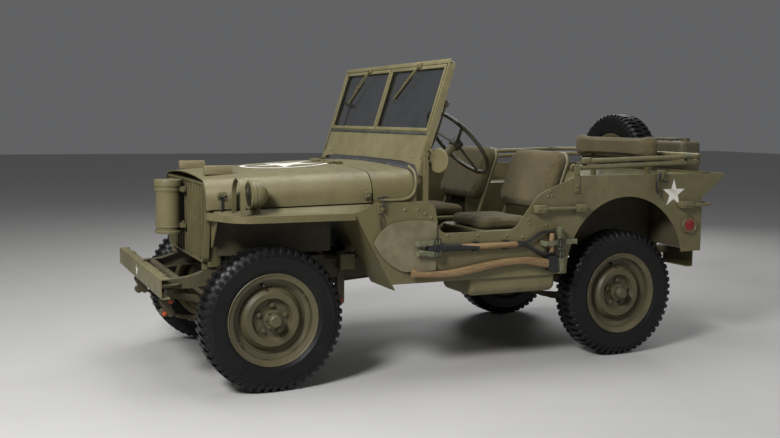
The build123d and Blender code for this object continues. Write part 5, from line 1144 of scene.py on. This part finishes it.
# Pedals. Ribbed round pads for clutch and brake on bent arms through the toe board, painted dark
# and worn by boots.
pedal_pad = [(0.0, 0.7585), (0.036, 0.7585), (0.040, 0.762), (0.040, 0.768), (0.036, 0.772), (0.0, 0.772)]
pedals = bmesh.new()
for y, tag in ((0.450, "clutch"), (0.300, "brake")):
    add_turned(pedals, pedal_pad, (0.490, y), 28)
    for step in range(-2, 3):
        add_slab(pedals, *zip(span(0.4895 + 0.012 * step, 0.003), span(y, 0.030), (0.770, 0.7755)), 0.001)
    arm = [(0.490, y, 0.762), (0.525, y, 0.752), (0.580, y - 0.01, 0.700), (0.625, y - 0.01, 0.650)]
    tube("pedal_arm_" + tag, arm, 0.009, rim_enamel)
outward(pedals)
fit(pedals, "pedal_pads", rim_enamel)


# Engine fittings under the hood. A flat cast head with its nuts and plugs, fan and hoses ahead, an
# oil-bath air cleaner on the firewall and a battery on a tray beside the block.
plug = [(0.011, 0.956), (0.011, 0.966), (0.007, 0.968), (0.0065, 0.992), (0.003, 0.995), (0.0, 0.995)]
distributor = [
    (0.0, 0.800), (0.030, 0.800), (0.030, 0.880), (0.042, 0.884), (0.042, 0.906), (0.034, 0.926),
    (0.0, 0.928),
]
cleaner_pot = [
    (0.0, 0.735), (0.075, 0.735), (0.078, 0.742), (0.078, 0.830), (0.084, 0.834), (0.084, 0.850),
    (0.070, 0.866), (0.070, 0.900), (0.062, 0.912), (0.014, 0.914), (0.010, 0.926), (0.0, 0.926),
]
filler_cap = [(0.024, 0.984), (0.024, 0.992), (0.030, 0.993), (0.030, 1.002), (0.024, 1.006), (0.0, 1.006)]
hoses = [  # name, radius, finish, slot, line
    ("upper_hose", 0.021, seal_rubber, "black_steel",
     [(1.215, 0.0, 0.955), (1.250, 0.0, 0.985), (1.290, 0.0, 0.985), (1.318, 0.0, 0.968)]),
    ("lower_hose", 0.021, seal_rubber, "black_steel",
     [(1.262, 0.080, 0.600), (1.280, 0.090, 0.606), (1.300, 0.110, 0.620), (1.314, 0.120, 0.626)]),
    ("air_pipe", 0.024, body_olive, "olive_paint",
     [(0.835, -0.250, 0.882), (0.880, -0.232, 0.890), (0.905, -0.205, 0.880), (0.910, -0.146, 0.850)]),
]
head, plugs, fan, cleaner, battery, tray, cap = (bmesh.new() for _ in range(7))
add_slab(head, (0.775, -0.105, 0.938), (1.235, 0.105, 0.958), 0.006)
for step in range(7):
    for y in (-0.088, 0.0, 0.088):
        add_bolt(head, (0.795 + 0.069 * step, y, 0.958), (0, 0, 1), 0.009)
for step in range(4):
    x = 0.830 + 0.115 * step
    add_turned(plugs, plug, (x, -0.045), 14)
    lead = [(x, -0.045, 0.992), (x + 0.01, -0.07, 1.004), (x + 0.02, -0.120, 0.990)]
    lead.append((1.000 + 0.01 * step, -0.190, 0.925))
    tube("plug_lead_%d" % step, lead, 0.0035, seal_rubber)
    spin = Matrix.Rotation(math.pi / 2 * step + 0.4, 4, "X")
    middle = Vector((1.2885, 0, 0.800)) + spin @ Vector((0, 0, 0.105))
    twist = spin @ Matrix.Rotation(math.radians(18), 4, "Z")
    add_block(fan, middle, (0.001, 0.028, 0.070), 0.0006, twist)
add_turned(head, distributor, (1.015, -0.192), 28)
add_slab(head, (0.985, -0.195, 0.810), (1.045, -0.145, 0.840), 0.004)
add_ring(fan, (1.268, 0, 0.800), AHEAD, 0.010, 0.045, 0.026, 28)
add_turned(cleaner, cleaner_pot, (0.775, -0.285))
add_slab(cleaner, (0.674, -0.315, 0.760), (0.712, -0.255, 0.860), 0.003)
add_slab(battery, (0.900, -0.412, 0.662), (1.070, -0.262, 0.842), 0.004)
for x in (0.930, 0.985, 1.040):
    add_turned(battery, [(0.013, 0.840), (0.013, 0.850), (0.010, 0.854), (0.0, 0.854)], (x, -0.337), 16)
for x in (0.912, 1.058):
    add_turned(battery, [(0.009, 0.840), (0.008, 0.862), (0.0, 0.862)], (x, -0.290), 14)
add_slab(tray, (0.890, -0.432, 0.650), (1.080, -0.252, 0.661), 0.002)
add_slab(tray, (0.920, -0.420, 0.843), (1.050, -0.250, 0.849), 0.002)
for x in (0.935, 1.035):
    rod = [(x, -0.256, 0.655), (x, -0.256, 0.750), (x, -0.258, 0.850)]
    steel_rod("battery_rod_%d" % round(x * 1000), rod, 0.004)
add_turned(cap, filler_cap, (1.337, 0.060), 28)
outward(head, plugs, fan, cleaner, battery, cap)
fit(head, "cylinder_head", engine_iron)
fit(plugs, "spark_plugs", star_white)
fit(fan, "cooling_fan", black_steel)
fit(cleaner, "air_cleaner", body_olive)
fit(battery, "battery", seal_rubber)
fit(tray, "battery_tray", body_olive)
fit(cap, "radiator_cap", black_steel)
for name, radius, finish, slot, line in hoses:
    tube(name, line, radius, finish, smooth=10)


# Seats. Cotton-canvas pads filled with felt and springs, tied into bent tube frames: two seats in
# front and a bench with a thick back behind. Each starts as a rounded block and is blown up as cloth.
def seat_canvas():
    """Faded olive canvas: square weave, uneven tone and dark creases."""
    finish, main, place = new_finish("seat_canvas")
    warp, weft, depth = (place.bands(axis, 210.0) for axis in "YZX")
    cloud = place.noise(5.0, 5.0, 0.6)
    fuzz = place.noise(90.0, 4.0, 0.7)
    crease = place.noise(7.0, 3.0, 0.5, stretch=(1, 1, 2.2))
    colour = (cloud * 0.6 + fuzz * 0.4).band(0.33, 0.68).mix(linear("484026"), linear("5b5132"))
    colour = (crease.band(0.55, 0.72) * 0.3).mix(colour, linear("35301f"))
    height = warp * 0.3 + weft * 0.3 + depth * 0.3 + crease * 3.0
    feed(main, colour, 0.86 + 0.08 * fuzz, height, 0.35, 0.002)
    main.inputs["Sheen Weight"].default_value = 0.08
    main.inputs["Sheen Roughness"].default_value = 0.5
    return finish


canvas = seat_canvas()
VOXEL, PRESSURE, STIFFNESS, FRAMES = 0.006, 4, 12, 20


def swell(pad, cap):
    """Fill a pad with air as cloth, and hold every point within cap of where it started."""
    pad.data.remesh_voxel_size = VOXEL
    bpy.context.view_layer.objects.active = pad
    bpy.ops.object.voxel_remesh()
    start = [v.co.copy() for v in pad.data.vertices]
    cloth = pad.modifiers.new("filling", "CLOTH")
    cloth.settings.use_pressure = True
    cloth.settings.uniform_pressure_force = PRESSURE
    cloth.settings.effector_weights.gravity = 0
    cloth.settings.tension_stiffness = STIFFNESS
    cloth.settings.compression_stiffness = STIFFNESS
    scene = bpy.context.scene
    for step in range(1, FRAMES + 1):
        scene.frame_set(step)
    grown = pad.evaluated_get(bpy.context.evaluated_depsgraph_get()).data
    ends = [v.co.copy() for v in grown.vertices]
    pad.modifiers.remove(cloth)
    scene.frame_set(1)
    for v, first, last in zip(pad.data.vertices, start, ends):
        move = last - first
        v.co = first + move * min(1, cap / max(move.length, 1e-9))


def pad_block(size, round_by, corner, place):
    """Stuffed block: its upright corners rounded by corner, all other edges by round_by."""
    block = bmesh.new()
    bmesh.ops.create_cube(block, size=1, matrix=Matrix.Diagonal((*size, 1)))
    upright = [e for e in block.edges if abs(e.verts[0].co.z - e.verts[1].co.z) > 1e-6]
    round_edges(block, upright, corner, 5)
    rims = [e for e in block.edges if abs(e.verts[0].co.z - e.verts[1].co.z) < 1e-6]
    round_edges(block, rims, round_by, 4)
    bmesh.ops.transform(block, matrix=place, verts=block.verts)
    return block


pads = [  # name, size across the pad's own axes, edge, corner, middle, lean about Y, cap, fill
    ("driver_seat_pad", (0.325, 0.395, 0.044), 0.015, 0.05, (-0.1685, 0.380, 0.759), 0, 0.012, 0.6),
    ("passenger_seat_pad", (0.325, 0.395, 0.044), 0.015, 0.05, (-0.1685, -0.380, 0.759), 0, 0.012, 0.6),
    ("driver_back_pad", (0.348, 0.512, 0.072), 0.026, 0.08, (-0.439, 0.380, 0.986), 70.6, 0.010, 0.6),
    ("passenger_back_pad", (0.348, 0.512, 0.072), 0.026, 0.08, (-0.439, -0.380, 0.986), 70.6, 0.010, 0.6),
    ("rear_seat_pad", (0.250, 0.800, 0.064), 0.02, 0.05, (-1.1015, 0.0, 0.810), 0, 0.014, 0.65),
    ("rear_back_pad", (0.140, 0.800, 0.054), 0.022, 0.05, (-1.2914, 0.0, 1.1575), -90, 0.014, 0.7),
]
for name, size, edge, corner, middle, turn, cap, fill in pads:
    place = Matrix.Translation(middle) @ Matrix.Rotation(math.radians(turn), 4, "Y")
    pad = fit(pad_block(size, edge, corner, place), name, canvas, crease=80)
    swell(pad, cap)
    pad.modifiers.new("stitch", "SUBSURF").levels = 1
    pad.modifiers["stitch"].render_levels = 1
    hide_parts("seat_cushions")


# Studio: a pale floor, a small strong light ahead on the left and softer ones above and behind,
# seen from the left and a little ahead at standing height.
FLOOR_HALF, FOCAL, FILM = 30, 44.48, 36
CAMERA_SPOT, CAMERA_TURNS = (2.5426, 5.0234, 1.3117), (-114.331, -5.899, 0.593)  # heading, tilt, roll


def studio():
    """Floor, lights, world and camera."""
    ground = bmesh.new()
    bmesh.ops.create_grid(ground, x_segments=1, y_segments=1, size=FLOOR_HALF)
    sheet = bpy.data.meshes.new("floor")
    ground.to_mesh(sheet)
    floor = bpy.data.objects.new("floor", sheet)
    bpy.context.scene.collection.objects.link(floor)
    finish, main, place = new_finish("floor_paint")
    speck = place.noise(3.0, 4.0)
    feed(main, speck.mix(linear("b4b3b1"), linear("bbbab8")), 0.55 + 0.1 * speck)
    sheet.materials.append(finish)
    lights = [  # name, place, aim, size, power
        ("key", (4.4, 3.4, 4.2), (0.4, 0.2, 0.6), 1.3, 385),
        ("fill", (-3.6, 4.6, 2.6), (-0.6, 0, 0.7), 3.0, 28),
        ("top", (0.4, -0.4, 5.2), (0, 0, 0.6), 4.0, 170),
        ("rim", (-3.6, -4.6, 3.6), (0, 0, 0.8), 3.0, 110),
    ]
    for name, spot, aim, size, power in lights:
        lamp = bpy.data.lights.new(name, "AREA")
        lamp.size = size
        lamp.energy = power
        holder = bpy.data.objects.new(name, lamp)
        holder.location = spot
        holder.rotation_euler = (Vector(aim) - Vector(spot)).to_track_quat("-Z", "Y").to_euler()
        bpy.context.scene.collection.objects.link(holder)
    world = bpy.data.worlds.new("studio")
    world.use_nodes = True
    world.node_tree.nodes["Background"].inputs["Color"].default_value = (0.80, 0.81, 0.83, 1)
    world.node_tree.nodes["Background"].inputs["Strength"].default_value = 0.15
    bpy.context.scene.world = world
    bpy.context.scene.view_settings.view_transform = "Standard"

    lens = bpy.data.cameras.new("camera")
    lens.lens = FOCAL
    lens.sensor_width = FILM
    lens.clip_end = 100
    camera = bpy.data.objects.new("camera", lens)
    turn, tilt, roll = (math.radians(angle) for angle in CAMERA_TURNS)
    look = Vector((math.cos(tilt) * math.cos(turn), math.cos(tilt) * math.sin(turn), math.sin(tilt)))
    right = look.cross(Vector((0, 0, 1))).normalized()
    over = right.cross(look)
    across = right * math.cos(roll) + over * math.sin(roll)
    upright = over * math.cos(roll) - right * math.sin(roll)
    pose = Matrix((across, upright, -look)).transposed().to_4x4()
    pose.translation = CAMERA_SPOT
    camera.matrix_world = pose
    bpy.context.scene.collection.objects.link(camera)
    bpy.context.scene.camera = camera


studio()
